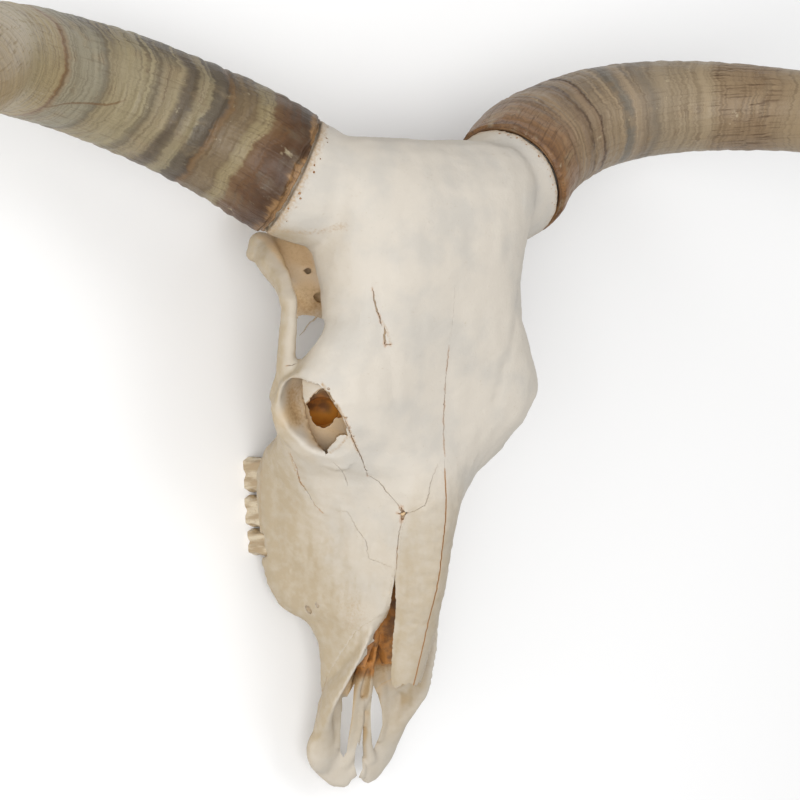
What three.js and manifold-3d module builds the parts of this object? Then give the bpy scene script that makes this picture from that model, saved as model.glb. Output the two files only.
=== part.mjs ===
// Longhorn steer skull without its lower jaw, at rest on its back teeth and on the two bony feet
// under the back of the head. Millimetres.
//
// Every piece is shaped in the skull's own frame: x is the distance to the skull's left, y runs back
// towards the poll, z runs up, and the zero point is in the middle of the forehead. Both sides are
// alike, so a pair is described by its left piece. At the end the whole skull is tipped so that its
// teeth and feet stand on z = 0, with the middle of its outline on the vertical axis.

import * as THREE from 'three';
import { LoftGeometry } from 'three/addons/geometries/LoftGeometry.js';
import { mergeVertices } from 'three/addons/utils/BufferGeometryUtils.js';
import Module from 'manifold-3d';

const wasm = await Module();
wasm.setup();

// Driving dimensions
const SEAM = 0.4; // open seam between neighbouring pieces
const CHEWING_HEIGHT = -188; // z of the worn faces of the back teeth
const CHEWING_CENTRE = -143; // y of the middle of the tooth row
const FOOT_HEIGHT = -206; // z of the feet beside the neck joint
const FOOT_CENTRE = 99; // y of those feet
const ORBIT_CENTRE = [88.5, -66, -44]; // middle of the bony ring round the eye
const ORBIT_RADIUS = 31; // inside of that ring
const SOCKET_CENTRE = [92.4, -63.1, -46.9]; // middle of the eye socket's hollow
const SOCKET_SIZE = [23.5, 34.5, 46]; // its half height, half length and depth
const RIM_WIDTH = 6.5; // half width of the bony ring round the eye
const CORE_LENGTH = 350; // bony core inside the horn, from the rim of the sheath
const SHEATH_WALL = 5; // thickness of the horn sheath at its rim
const SHEATH_RADIUS = 47.9; // outside of the sheath at its rim
const ROOT_GAP = 4; // dark gap between the rim of the sheath and the bony burr behind it
const ROOT_RADIUS = 43; // of that burr
const SHEATH_RINGS = 20;
const HORN_SIDES = 18;
const CORE_SIDES = 10;
const CORE_RINGS = 6;
const TIP_BLUNTNESS = 6; // by how much the sheath's taper would run on past its tip
const CORE_BLUNTNESS = 8; // the same for the bony core
const NASAL_THICKNESS = 3.5;
const NOTCH_FLOOR = -80; // z down to which the room for the nasal bones is cut
const ABOVE_HEAD = 30; // z above the head, where its cuts begin
const NOSE_FRONT = -310; // y in front of the head's end, where the cut of its open front begins
const TOOTH_SOCKET = 7; // how far a tooth stands in the jaw
const TOOTH_NECK = -164; // z of the edge of the jaw round a back tooth

// Middle line of the left horn, from inside the skull to the tip
const HORN_LINE = [
	[28, 88, -50], [62, 97, -53], [100.5, 113.9, -64.2], [137.6, 138.2, -83.9], [175.6, 157, -96.4],
	[213.6, 170.8, -101.2], [250.6, 179.8, -98.2], [285.5, 184.5, -87], [317.4, 185.4, -67.3],
	[345.3, 182.7, -38.8], [368.1, 176.8, -1.2], [388, 168, 42], [409, 157, 86], [434, 145, 128],
	[465, 134, 166], [501, 125, 197], [540, 119, 221], [580, 117, 238], [618, 119, 248],
];
const RIM_INDEX = 2; // the point of HORN_LINE at the rim of the sheath

// Left half of the head's outline, from the poll to the end of the upper jaw. Each outline runs from
// the middle of the top, over the forehead's edge and down the cheek, to the middle underneath.
const HEAD = [
	{ y: 142, half: [[0, -34], [30, -33], [60, -34], [74, -39], [78, -46],
		[74, -54], [60, -59], [42, -60], [22, -60], [0, -60]] },
	{ y: 136, half: [[0, -16], [34, -15], [70, -19], [90, -30], [96, -48],
		[90, -66], [72, -76], [48, -80], [24, -82], [0, -82]] },
	{ y: 122, half: [[0, -3], [36, -3], [74, -8], [94, -22], [102, -48],
		[94, -78], [74, -96], [52, -108], [26, -112], [0, -112]] },
	{ y: 107, half: [[0, 5], [37, 5], [72, -1], [92, -16], [99, -44],
		[90, -80], [68, -104], [54, -126], [28, -136], [0, -138]] },
	{ y: 90, half: [[0, 9], [38, 8], [70, 1], [88, -14], [95, -42],
		[88, -78], [66, -98], [56, -130], [32, -154], [0, -160]] },
	{ y: 70, half: [[0, 10], [38, 9], [67, -1], [83, -18], [88, -42],
		[85, -70], [65, -86], [59, -116], [34, -146], [0, -151]] },
	{ y: 45, half: [[0, 6], [38, 5], [64, -4], [79, -20], [85, -40],
		[82, -62], [62, -76], [54, -108], [32, -141], [0, -143]] },
	{ y: 15, half: [[0, 1], [38, 1], [63, -6], [78, -22], [85, -40],
		[82, -54], [58, -66], [44, -104], [31, -141], [0, -142]] },
	{ y: -12, half: [[0, -4], [42, -3], [72, -11], [89, -25], [97, -42],
		[90, -57], [54, -74], [40, -108], [31, -146], [0, -147]] },
	{ y: -36, half: [[0, -10], [44, -8], [79, -13], [100, -29], [110, -47],
		[102, -76], [66, -96], [40, -116], [32, -149], [0, -150]] },
	{ y: -62, half: [[0, -15], [42, -12], [76, -14], [101, -28], [112, -51],
		[107, -84], [80, -108], [46, -126], [34, -151], [0, -151]] },
	{ y: -87, half: [[0, -17], [26, -18], [54, -23], [79, -36], [95, -58],
		[97, -88], [88, -118], [70, -154], [50, -160], [0, -150]] },
	{ y: -112, half: [[0, -14], [18, -18], [38, -31], [55, -49], [71, -71],
		[82, -98], [80, -130], [75, -165], [53, -167], [0, -151]] },
	{ y: -138, half: [[0, -14], [13, -18], [25, -33], [40, -52], [55, -72],
		[68, -100], [74, -130], [75, -165], [52, -168], [0, -152]] },
	{ y: -166, half: [[0, -19], [12, -24], [22, -37], [33, -54], [47, -75],
		[60, -102], [68, -132], [73, -165], [51, -167], [0, -152]] },
	{ y: -195, half: [[0, -27], [11, -32], [20, -44], [30, -58], [41, -73],
		[52, -98], [62, -130], [69, -166], [48, -168], [0, -150]] },
	{ y: -218, half: [[0, -36], [10, -40], [18, -50], [27, -61], [37, -74],
		[46, -94], [54, -124], [59, -158], [44, -159], [0, -146]] },
	{ y: -232, half: [[0, -42], [10, -46], [17, -54], [26, -64], [34, -76],
		[40, -94], [44, -114], [45, -134], [34, -142], [0, -142]] },
	{ y: -254, half: [[0, -51], [9, -54], [14.5, -61.5], [21, -71], [28, -81],
		[35, -95], [40, -112], [40, -130], [29, -139], [0, -140]] },
	{ y: -276, half: [[0, -60], [8, -63], [12.5, -69.5], [18.5, -79.5], [24.5, -92],
		[32, -104], [37, -117], [39, -132], [28, -140], [0, -139]] },
	{ y: -292, half: [[0, -68], [8, -71], [12, -77], [18, -87], [24, -99],
		[30, -110], [36, -121], [37, -132], [27, -139], [0, -138]] },
];
const HEAD_STEPS = 25; // rings of faces from the poll to the end of the upper jaw

// Nasal cavity: heights of its roof and floor, and half widths at the roof and the floor
const NASAL_CAVITY = [
	{ y: -74, roof: -66, floor: -136, top: 14, bottom: 24 },
	{ y: -100, roof: -52, floor: -142, top: 20, bottom: 40 },
	{ y: -138, roof: -40, floor: -144, top: 22, bottom: 48 },
	{ y: -180, roof: -42, floor: -144, top: 19, bottom: 44 },
	{ y: -222, roof: -50, floor: -139, top: 16, bottom: 37 },
	{ y: -254, roof: -57, floor: -134, top: 15, bottom: 33 },
	{ y: -300, roof: -66, floor: -132, top: 14, bottom: 30 },
];

// Left nasal bone seen from above: y and half width, from its rear point to the broken front end
const NASAL_OUTLINE = [
	[-99, 3], [-118, 14], [-138, 24], [-166, 22], [-195, 20], [-222, 18], [-250, 16], [-276, 13],
];

// Rim of the nose's open front seen from the side: y and z, from the cheek to the tip
const NOSE_RIM = [
	[-188, -44], [-208, -56], [-226, -68], [-245, -80], [-262, -94], [-280, -112], [-296, -127],
];

// Back teeth: middle and length along the row, and distance of the middle from the skull's middle
const MOLARS = [
	{ name: 'molar_1', y: -168.3, length: 21, x: 63 },
	{ name: 'molar_2', y: -143.6, length: 25.5, x: 64 },
	{ name: 'molar_3', y: -114.8, length: 28.5, x: 63.5 },
];
const MOLAR_WIDTH = 18;
const PREMOLAR_SOCKETS = [
	{ y: -187, x: 59.5, radius: 6 }, { y: -201, x: 56.5, radius: 5.5 }, { y: -213, x: 52, radius: 4.5 },
];

const v3 = (p) => new THREE.Vector3(...p);
const UP = v3([0, 0, 1]);
const smoothLine = (points, closed = false) => new THREE.CatmullRomCurve3(points, closed, 'centripetal');

// A closed three.js shape as a solid that can be joined and cut
function solid(geometry) {
	const bare = new THREE.BufferGeometry().copy(geometry);
	bare.deleteAttribute('normal');
	bare.deleteAttribute('uv');
	const merged = mergeVertices(bare, 1e-4);
	return new wasm.Manifold(new wasm.Mesh({
		numProp: 3,
		vertProperties: new Float32Array(merged.getAttribute('position').array),
		triVerts: new Uint32Array(merged.index.array),
	}));
}

function geometryOf(body) {
	const { vertProperties, triVerts } = body.getMesh();
	const geometry = new THREE.BufferGeometry();
	geometry.setAttribute('position', new THREE.BufferAttribute(new Float32Array(vertProperties), 3));
	geometry.setIndex(new THREE.BufferAttribute(new Uint32Array(triVerts), 1));
	return geometry;
}

// The same shape on the skull's right, with its faces still pointing out
function mirrored(geometry) {
	const other = new THREE.BufferGeometry().copy(geometry).scale(-1, 1, 1);
	const corners = other.index.array;
	for (let i = 0; i < corners.length; i += 3) {
		[corners[i], corners[i + 1]] = [corners[i + 1], corners[i]];
	}
	return other;
}

const pair = (geometry) => [solid(geometry), solid(mirrored(geometry))];
const join = (first, more) => more.reduce((sum, piece) => sum.add(piece), first);
const cut = (body, more) => more.reduce((rest, piece) => rest.subtract(piece), body);
const capped = (sections) => new LoftGeometry(sections, { capStart: true, capEnd: true });

// Oval section across a line. Its half height is measured towards up.
function oval(centre, along, up, wide, high, sides) {
	const right = new THREE.Vector3().crossVectors(up, along).normalize();
	const top = new THREE.Vector3().crossVectors(along, right);
	return Array.from({ length: sides }, (_, j) => {
		const angle = (2 * Math.PI * j) / sides;
		return centre.clone()
			.addScaledVector(right, wide * Math.cos(angle))
			.addScaledVector(top, high * Math.sin(angle));
	});
}

// A bar with oval sections along a smooth line. Each station has a place, a half width and a half
// height. A bar can be grown all round to cut the room it needs.
function bar(stations, { steps = 2, sides = 8, up = [0, 0, 1], grow = 0 } = {}) {
	const line = smoothLine(stations.map((s) => v3(s.at)));
	const size = smoothLine(stations.map((s) => new THREE.Vector3(s.wide, s.high, 0)));
	const count = (stations.length - 1) * steps;
	return capped(Array.from({ length: count + 1 }, (_, i) => {
		const { x: wide, y: high } = size.getPoint(i / count);
		const [centre, along] = [line.getPoint(i / count), line.getTangent(i / count)];
		return oval(centre, along, v3(up), wide + grow, high + grow, sides);
	}));
}

// A rounded lump with three half sizes
const LUMP_SIDES = 9;
const LUMP_RINGS = 6;
function lump([x, y, z], [rx, ry, rz], tip = 0, turn = 0) {
	return new THREE.SphereGeometry(1, LUMP_SIDES, LUMP_RINGS)
		.rotateX(Math.PI / 2).scale(rx, ry, rz)
		.rotateX(tip).rotateZ(turn)
		.translate(x, y, z);
}

// The closed outline of a mirrored half outline at y, with a number of points for each given one
function fullOutline(half, y, fineness = 1) {
	const right = half.map(([x, z]) => new THREE.Vector3(-x, y, z));
	const left = half.slice(1, -1).reverse().map(([x, z]) => new THREE.Vector3(x, y, z));
	const count = (right.length + left.length) * fineness;
	const outline = smoothLine([...right, ...left], true);
	return Array.from({ length: count }, (_, i) => outline.getPoint(i / count));
}

// Head, lofted along smooth lines through the matching points of the outlines
function headGeometry() {
	const rails = HEAD[0].half.map((_, k) => smoothLine(
		HEAD.map((outline) => new THREE.Vector3(outline.half[k][0], outline.y, outline.half[k][1]))));
	return capped(Array.from({ length: HEAD_STEPS + 1 }, (_, i) => {
		const points = rails.map((rail) => rail.getPoint(i / HEAD_STEPS));
		return fullOutline(points.map((p) => [p.x, p.z]), points[0].y, 2);
	}));
}

// Horns: the middle line is walked by its length from the rim
const hornLine = smoothLine(HORN_LINE.map(v3));
const LENGTH_STEPS = 400;
const hornLengths = hornLine.getLengths(LENGTH_STEPS);
const rimLength = hornLengths[(LENGTH_STEPS * RIM_INDEX) / (HORN_LINE.length - 1) | 0];
const hornLength = hornLine.getLength() - rimLength;
// Outside of the sheath at a distance from its rim: a slow taper, then a blunt point
const sheathRadius = (s) => {
	const rest = 1 - s / (hornLength + TIP_BLUNTNESS);
	return SHEATH_RADIUS * Math.sqrt(rest) * (0.9 + 0.1 * rest);
};
const coreRadius = (s) => (SHEATH_RADIUS - SHEATH_WALL - SEAM)
	* (1 - Math.max(0, s) / (CORE_LENGTH + CORE_BLUNTNESS)) ** 0.55;

const hornBar = (lengths, sides, radiusAt) => capped(lengths.map((s) => {
	const u = (rimLength + s) / hornLine.getLength();
	const radius = radiusAt(s);
	return oval(hornLine.getPointAt(u), hornLine.getTangentAt(u), UP, radius, radius, sides);
}));
const evenly = (length, steps) => Array.from({ length: steps + 1 }, (_, i) => (length * i) / steps);
const hornRoot = hornBar([-rimLength, -0.5 * rimLength, -ROOT_GAP], HORN_SIDES,
	(s) => ROOT_RADIUS - (0.06 * s * (rimLength + s)) / rimLength);
const coreRings = evenly(CORE_LENGTH, CORE_RINGS);
const hornCore = hornBar([-3 * ROOT_GAP, ...coreRings], CORE_SIDES, coreRadius);
const hornHollow = hornBar([-3 * ROOT_GAP, ...coreRings, CORE_LENGTH + 2 * SEAM], CORE_SIDES,
	(s) => coreRadius(s) + 2 * SEAM);
const hornSheath = geometryOf(solid(hornBar(evenly(hornLength, SHEATH_RINGS), HORN_SIDES, sheathRadius))
	.subtract(solid(hornHollow)));

// Eye socket: it looks sideways, a little up and a little forwards
const orbitAxis = new THREE.Vector3(0.83, -0.38, 0.41).normalize();
const orbitBack = new THREE.Vector3().crossVectors(orbitAxis, new THREE.Vector3(0.41, 0, -0.91)).normalize();
const orbitDown = new THREE.Vector3().crossVectors(orbitBack, orbitAxis);
const orbitPoint = (angle, radius, sink = 0) => v3(ORBIT_CENTRE)
	.addScaledVector(orbitDown, radius * Math.cos(angle))
	.addScaledVector(orbitBack, radius * Math.sin(angle))
	.addScaledVector(orbitAxis, -sink);

// Its rim stands out below and behind the eye, and dies away into the forehead above it
const rimAngles = Array.from({ length: 9 }, (_, i) => THREE.MathUtils.degToRad(-110 + 32 * i));
const orbitRim = bar(rimAngles.map((angle) => {
	const sink = 7 - 6 * Math.cos(angle) - 3 * Math.sin(angle);
	const at = orbitPoint(angle, ORBIT_RADIUS + RIM_WIDTH - 0.5, sink).toArray();
	return { at, wide: RIM_WIDTH, high: 8 + Math.cos(angle) };
}), { steps: 1, up: orbitAxis.toArray() });
const socketSlant = new THREE.Vector3(-0.503, -0.828, 0.25);
const socketAcross = new THREE.Vector3().crossVectors(orbitAxis, socketSlant).normalize();
const socketAlong = new THREE.Vector3().crossVectors(orbitAxis, socketAcross);
const SOCKET_SIDES = 14;
const SOCKET_RINGS = 7;
const orbitHollow = new THREE.SphereGeometry(1, SOCKET_SIDES, SOCKET_RINGS)
	.rotateX(Math.PI / 2).scale(...SOCKET_SIZE)
	.applyMatrix4(new THREE.Matrix4().makeBasis(socketAcross, socketAlong, orbitAxis))
	.translate(...SOCKET_CENTRE);

// Cheek arch, from under the eye to the jaw's hinge, and the shelf that joins it to the braincase
const cheekArch = bar([
	{ at: [104, -54, -82], wide: 7, high: 10 }, { at: [106, -32, -68], wide: 5.5, high: 9 },
	{ at: [105.5, 0, -63.5], wide: 5.4, high: 8.5 }, { at: [104.5, 20, -63], wide: 5.2, high: 8.5 },
	{ at: [102, 36, -76], wide: 6, high: 10 }, { at: [99, 55, -101], wide: 9, high: 12 },
	{ at: [94, 67, -121], wide: 12, high: 12 },
], { steps: 1 });
const archRoot = bar([
	{ at: [48, 39, -108], wide: 34, high: 15 }, { at: [70, 50, -110], wide: 23, high: 9 },
	{ at: [90, 61, -114], wide: 12, high: 8 },
], { steps: 1 });

// Back of the head: the two knuckles of the neck joint, the feet beside them and the ear bulbs
const neckKnuckle = lump([26, 104, -164], [17, 22, 21], 0.5, -0.35);
const foot = bar([
	{ at: [60, 78, -120], wide: 18, high: 14 }, { at: [61, 88, -160], wide: 11, high: 12 },
	{ at: [59, 95, -188], wide: 7, high: 11 }, { at: [57, FOOT_CENTRE, FOOT_HEIGHT - 10], wide: 6, high: 9 },
], { up: [0, 1, 0] });
const earBulb = lump([46, 56, -140], [12, 20, 18]);
const brainRoom = bar([
	{ at: [0, 150, -158], wide: 17, high: 17 }, { at: [0, 108, -146], wide: 18, high: 17 },
	{ at: [0, 88, -130], wide: 22, high: 20 }, { at: [0, 62, -96], wide: 38, high: 32 },
	{ at: [0, 20, -82], wide: 39, high: 32 }, { at: [0, -10, -80], wide: 22, high: 18 },
], { steps: 1, sides: 12 });
const throat = bar([
	{ at: [0, -84, -128], wide: 24, high: 12 }, { at: [0, -64, -152], wide: 25, high: 38 },
	{ at: [0, -30, -160], wide: 25, high: 42 }, { at: [0, 0, -166], wide: 23, high: 38 },
	{ at: [0, 30, -178], wide: 20, high: 32 },
], { steps: 1, sides: 12 });

// Nose
const nasalCavity = capped(NASAL_CAVITY.map(({ y, roof, floor, top, bottom }) => fullOutline([
	[0, roof], [top * 0.7, roof], [top, roof - 6], [(top + bottom) / 2, (roof + floor) / 2 + 8],
	[bottom, floor + 34], [bottom, floor + 10], [bottom - 9, floor], [0, floor],
], y)));
const NASAL_SECTIONS = 13;
const nasalEdge = new THREE.SplineCurve(NASAL_OUTLINE.map((p) => new THREE.Vector2(...p)))
	.getPoints(NASAL_SECTIONS - 1);
const nasalNotch = capped([...nasalEdge, new THREE.Vector2(NOSE_FRONT, 10)].map(({ x: y, y: edge }, i) => {
	const w = edge + SEAM;
	const back = i === 0 ? SEAM : 0;
	return [[-w, ABOVE_HEAD], [-w, NOTCH_FLOOR], [w, NOTCH_FLOOR], [w, ABOVE_HEAD]]
		.map(([x, z]) => new THREE.Vector3(x, y + back, z));
}));
const openFront = [
	[NOSE_RIM[0][0], ABOVE_HEAD], [NOSE_FRONT, ABOVE_HEAD], [NOSE_FRONT, NOSE_RIM.at(-1)[1] - 1],
	...NOSE_RIM.slice().reverse(),
];
const noseOpening = capped([-70, 70].map((x) => openFront.map(([y, z]) => new THREE.Vector3(x, y, z))));

// Height of the head's outside at y, beside its middle: the nasal bones continue it
function headTop(y, x) {
	const next = HEAD.findIndex((outline) => outline.y <= y);
	const [behind, ahead] = [HEAD[next - 1], HEAD[next]];
	const f = (behind.y - y) / (behind.y - ahead.y);
	const profile = behind.half.map(([px, pz], k) => new THREE.Vector2(
		THREE.MathUtils.lerp(px, ahead.half[k][0], f), THREE.MathUtils.lerp(pz, ahead.half[k][1], f)));
	const k = profile.findIndex((p) => p.x > x);
	const [p, q] = [profile[k - 1], profile[k]];
	return p.y + ((q.y - p.y) * (x - p.x)) / (q.x - p.x);
}
const nasalBone = capped(nasalEdge.map(({ x: y, y: edge }) => {
	const outer = [0, 0.3, 0.65, 1].map((f) => THREE.MathUtils.lerp(SEAM / 2, edge, f))
		.map((x) => new THREE.Vector3(x, y, headTop(y, x)));
	const inner = outer.map((p) => new THREE.Vector3(p.x * 0.92 + 0.1, y, p.z - NASAL_THICKNESS));
	return [...inner, ...outer.reverse()];
}));

// Front jaw bone: a plate up the side of the nose, ending in a broad thin tip, a shelf beside the
// palate and a splint along the middle
const frontPlate = [
	{ at: [29.5, -226, -72], wide: 1.6, high: 5 }, { at: [32, -246, -86], wide: 2, high: 11 },
	{ at: [35.5, -266, -102], wide: 2.4, high: 14.5 }, { at: [40, -284, -115], wide: 3.4, high: 15.5 },
	{ at: [40, -300, -124], wide: 4.5, high: 11 }, { at: [36, -316, -133], wide: 8, high: 7.5 },
	{ at: [32, -330, -140], wide: 11.5, high: 6 }, { at: [25, -344, -144], wide: 14, high: 5.5 },
	{ at: [14, -355, -143], wide: 12.5, high: 5 }, { at: [6.5, -360, -141], wide: 8, high: 4.5 },
];
const frontShelf = [
	{ at: [30, -294, -131.5], wide: 12, high: 3 },
	{ at: [31, -306, -132], wide: 11, high: 3 }, { at: [32, -318, -134], wide: 9, high: 3 },
];
const splint = [
	{ at: [4.6, -293.6, -128.5], wide: 2.6, high: 7 }, { at: [4.2, -312, -130], wide: 2.8, high: 6 },
	{ at: [6, -332, -134], wide: 3.6, high: 4.5 }, { at: [12, -347, -139], wide: 6, high: 4.5 },
];
const plate = (grow) => bar(frontPlate, { grow, steps: 1, up: [0.25, 0, 1] });
const premaxilla = geometryOf(join(solid(plate(0)), [
	solid(bar(frontShelf, { steps: 1 })), solid(bar(splint, { steps: 1, sides: 6 })),
]));

// A back tooth: two rounded lobes to the cheek and two to the tongue
const TOOTH_OUTLINE = [
	[-0.5, 0.2], [-0.38, 0.48], [-0.16, 0.48], [0, 0.36], [0.16, 0.48], [0.38, 0.48], [0.5, 0.2],
	[0.48, -0.3], [0.26, -0.5], [0, -0.38], [-0.26, -0.5], [-0.48, -0.3],
];
const SOCKET_OUTLINE = [
	[-0.5, 0.2], [-0.38, 0.48], [0.38, 0.48], [0.5, 0.2],
	[0.48, -0.3], [0.26, -0.5], [-0.26, -0.5], [-0.48, -0.3],
];
const toothBody = ({ y, length, x }, outline, levels) => capped(levels.map(([z, scale, grow]) => outline.map(
	([along, across]) => new THREE.Vector3(
		x + across * (MOLAR_WIDTH * scale + 2 * grow), y + along * (length * scale + 2 * grow), z))));
const tooth = (molar) => toothBody(molar, TOOTH_OUTLINE, [
	[CHEWING_HEIGHT - 8, 0.94, 0], [TOOTH_NECK, 1, 0], [TOOTH_NECK + TOOTH_SOCKET, 0.92, 0],
]);
const toothRoom = (molar) => toothBody(molar, SOCKET_OUTLINE, [
	[TOOTH_NECK - 8, 1, 1.5 * SEAM], [TOOTH_NECK + TOOTH_SOCKET + SEAM, 1, SEAM],
]);

const emptySocket = ({ y, x, radius }) => new THREE.CylinderGeometry(radius * 0.5, radius * 1.1, 16, 7)
	.rotateX(Math.PI / 2).translate(x, y, TOOTH_NECK - 2);

// The surface that the skull lies on, as a slab under the teeth and the feet
const tip = Math.atan2(CHEWING_HEIGHT - FOOT_HEIGHT, FOOT_CENTRE - CHEWING_CENTRE);
const SLAB_SIZE = [400, 600, 60];
const slab = solid(new THREE.BoxGeometry(...SLAB_SIZE)
	.translate(0, 0, -SLAB_SIZE[2] / 2).rotateX(-tip).translate(0, CHEWING_CENTRE, CHEWING_HEIGHT));

const cranium = cut(join(solid(headGeometry()), [
	...pair(hornRoot), ...pair(hornCore), ...pair(orbitRim), ...pair(cheekArch), ...pair(archRoot),
	...pair(neckKnuckle), ...pair(foot), ...pair(earBulb),
]), [
	...pair(orbitHollow), solid(brainRoom), solid(throat), solid(nasalCavity), solid(nasalNotch),
	solid(noseOpening), ...pair(plate(SEAM)), slab,
	...MOLARS.flatMap((molar) => pair(toothRoom(molar))),
	...PREMOLAR_SOCKETS.flatMap((socket) => pair(emptySocket(socket))),
]);

// Assembly
const bone = { color: 0xd8ccb8, roughness: 0.75, metalness: 0 };
const enamel = { color: 0xd9c9a3, roughness: 0.4, metalness: 0 };
const horn = { color: 0x8d8069, roughness: 0.5, metalness: 0 };
const skull = new THREE.Group();
function addPiece(name, geometry, finish) {
	const mesh = new THREE.Mesh(geometry, new THREE.MeshStandardMaterial(finish));
	mesh.name = name;
	skull.add(mesh);
}
function addPair(name, geometry, finish) {
	addPiece(`${name}_left`, geometry, finish);
	addPiece(`${name}_right`, mirrored(geometry), finish);
}
addPiece('cranium', geometryOf(cranium), bone);
addPair('nasal_bone', nasalBone, bone);
addPair('premaxilla', premaxilla, bone);
for (const molar of MOLARS) addPair(molar.name, geometryOf(solid(tooth(molar)).subtract(slab)), enamel);
addPair('horn_sheath', hornSheath, horn);

skull.rotation.x = tip;
skull.updateMatrixWorld(true);
const box = new THREE.Box3().setFromObject(skull, true);
skull.position.set(0, -(box.min.y + box.max.y) / 2, -box.min.z);

const part = new THREE.Group();
part.add(skull);
export default part;
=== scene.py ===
import math

import bmesh
import bpy
import numpy as np
from mathutils import Euler, Matrix, Vector, bvhtree


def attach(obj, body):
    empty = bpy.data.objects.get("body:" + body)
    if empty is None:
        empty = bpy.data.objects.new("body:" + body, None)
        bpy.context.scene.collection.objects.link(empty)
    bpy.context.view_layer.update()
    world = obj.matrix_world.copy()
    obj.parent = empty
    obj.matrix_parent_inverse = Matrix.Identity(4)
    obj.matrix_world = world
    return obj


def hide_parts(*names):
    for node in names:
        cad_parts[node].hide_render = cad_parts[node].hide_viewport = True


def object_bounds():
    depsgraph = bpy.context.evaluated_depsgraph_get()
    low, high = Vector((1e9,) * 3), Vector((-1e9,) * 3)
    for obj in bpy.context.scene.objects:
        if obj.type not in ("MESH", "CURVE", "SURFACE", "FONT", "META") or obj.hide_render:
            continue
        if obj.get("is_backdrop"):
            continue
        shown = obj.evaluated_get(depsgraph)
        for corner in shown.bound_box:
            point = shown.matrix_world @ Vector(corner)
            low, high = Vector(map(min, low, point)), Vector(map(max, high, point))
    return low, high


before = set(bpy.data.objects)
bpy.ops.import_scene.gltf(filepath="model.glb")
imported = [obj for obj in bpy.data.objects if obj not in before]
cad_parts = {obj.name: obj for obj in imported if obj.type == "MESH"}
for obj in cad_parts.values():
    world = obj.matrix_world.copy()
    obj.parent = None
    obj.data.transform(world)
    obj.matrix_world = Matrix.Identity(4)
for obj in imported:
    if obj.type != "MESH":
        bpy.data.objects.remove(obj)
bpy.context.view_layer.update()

# Camera: it looks down on the resting skull from its right side, as the photograph does. It comes
# first because the breaks and cracks of the bone are traced in its picture, 800 by 800 pixels, and
# then followed along its lines of sight into the bone.
PICTURE_MIDDLE = 400
FOCAL_PIXELS = 2038.74
SENSOR = 36
CAMERA_PLACE = (-0.8933, -0.02515, 1.41103)
CAMERA_DEGREES = (3.634, -34.5718, -3.9029)
camera_data = bpy.data.cameras.new("camera")
camera_data.sensor_width = SENSOR
camera_data.lens = SENSOR * FOCAL_PIXELS / (2 * PICTURE_MIDDLE)
camera = bpy.data.objects.new("camera", camera_data)
camera.location = CAMERA_PLACE
camera.rotation_euler = tuple(math.radians(angle) for angle in CAMERA_DEGREES)
bpy.context.scene.collection.objects.link(camera)
bpy.context.scene.camera = camera
camera_turn = camera.rotation_euler.to_matrix()


def sight_line(across, down):
    """Direction from the camera through a point of its picture, one metre deep."""
    return camera_turn @ Vector(((across - PICTURE_MIDDLE) / FOCAL_PIXELS,
                                 (PICTURE_MIDDLE - down) / FOCAL_PIXELS, -1))


def seen_at(across, down, depth):
    return camera.location + depth * sight_line(across, down)


# Bone: dry weathered bone, pale in front and tan at the sides; the tan of the sides is partly painted shade.
# The braincase, forehead, horn cores, eye sockets, cheek arches and upper jaws are fused. The nasal bones
# and the two front jaw bones meet them at open sutures. All are worn round as one body first, and then cut
# apart along the sutures.
# Points of the skull's own frame are in mm: to its left, backwards and up from its forehead.
SKULL_TIP = math.radians(4.2538)
SKULL_PLACE = Vector((0, 0.062944, 0.198089))
skull_to_row = np.array(Matrix.Translation(SKULL_PLACE) @ Matrix.Rotation(SKULL_TIP, 4, "X"))
row_to_skull = np.linalg.inv(skull_to_row)
MM = 0.001


def in_skull(points):
    """Points of the resting part, in metres, in the skull's own frame."""
    return (points @ row_to_skull[:3, :3].T + row_to_skull[:3, 3]) / MM


def from_skull(points):
    return (np.asarray(points, float) * MM) @ skull_to_row[:3, :3].T + skull_to_row[:3, 3]


def evaluated(mesh, change):
    """A new mesh: the given one after the modifiers that change() puts on its carrier."""
    carrier = bpy.data.objects.new("carrier", mesh)
    bpy.context.scene.collection.objects.link(carrier)
    change(carrier)
    seen = bpy.context.evaluated_depsgraph_get()
    made = bpy.data.meshes.new_from_object(carrier.evaluated_get(seen))
    bpy.data.objects.remove(carrier)
    return made


def even_skin(mesh, pitch):
    """An even mesh over the outside of all the closed bodies in the given one."""
    def change(carrier):
        remesh = carrier.modifiers.new("even", "REMESH")
        remesh.mode = "VOXEL"
        remesh.voxel_size = pitch
    return evaluated(mesh, change)


def combined(mesh, other, operation):
    """Solid sum, difference or overlap of two closed meshes."""
    tool = bpy.data.objects.new("tool", other)
    bpy.context.scene.collection.objects.link(tool)

    def change(carrier):
        boolean = carrier.modifiers.new("cut", "BOOLEAN")
        boolean.operation = operation
        boolean.solver = "MANIFOLD"
        boolean.object = tool
    made = evaluated(mesh, change)
    bpy.data.objects.remove(tool)
    return made


def thinned(mesh, faces, kept=()):
    """The same surface with about that many triangles; the kept vertices all stay."""
    triangles = sum(len(p.vertices) - 2 for p in mesh.polygons)

    def change(carrier):
        decimate = carrier.modifiers.new("thin", "DECIMATE")
        decimate.ratio = min(1.0, faces / triangles)
        if len(kept):
            group = carrier.vertex_groups.new(name="thin")
            group.add(range(len(mesh.vertices)), 1.0, "REPLACE")
            group.add([int(i) for i in kept], 0.0, "REPLACE")
            decimate.vertex_group = "thin"
    return evaluated(mesh, change)


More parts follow.
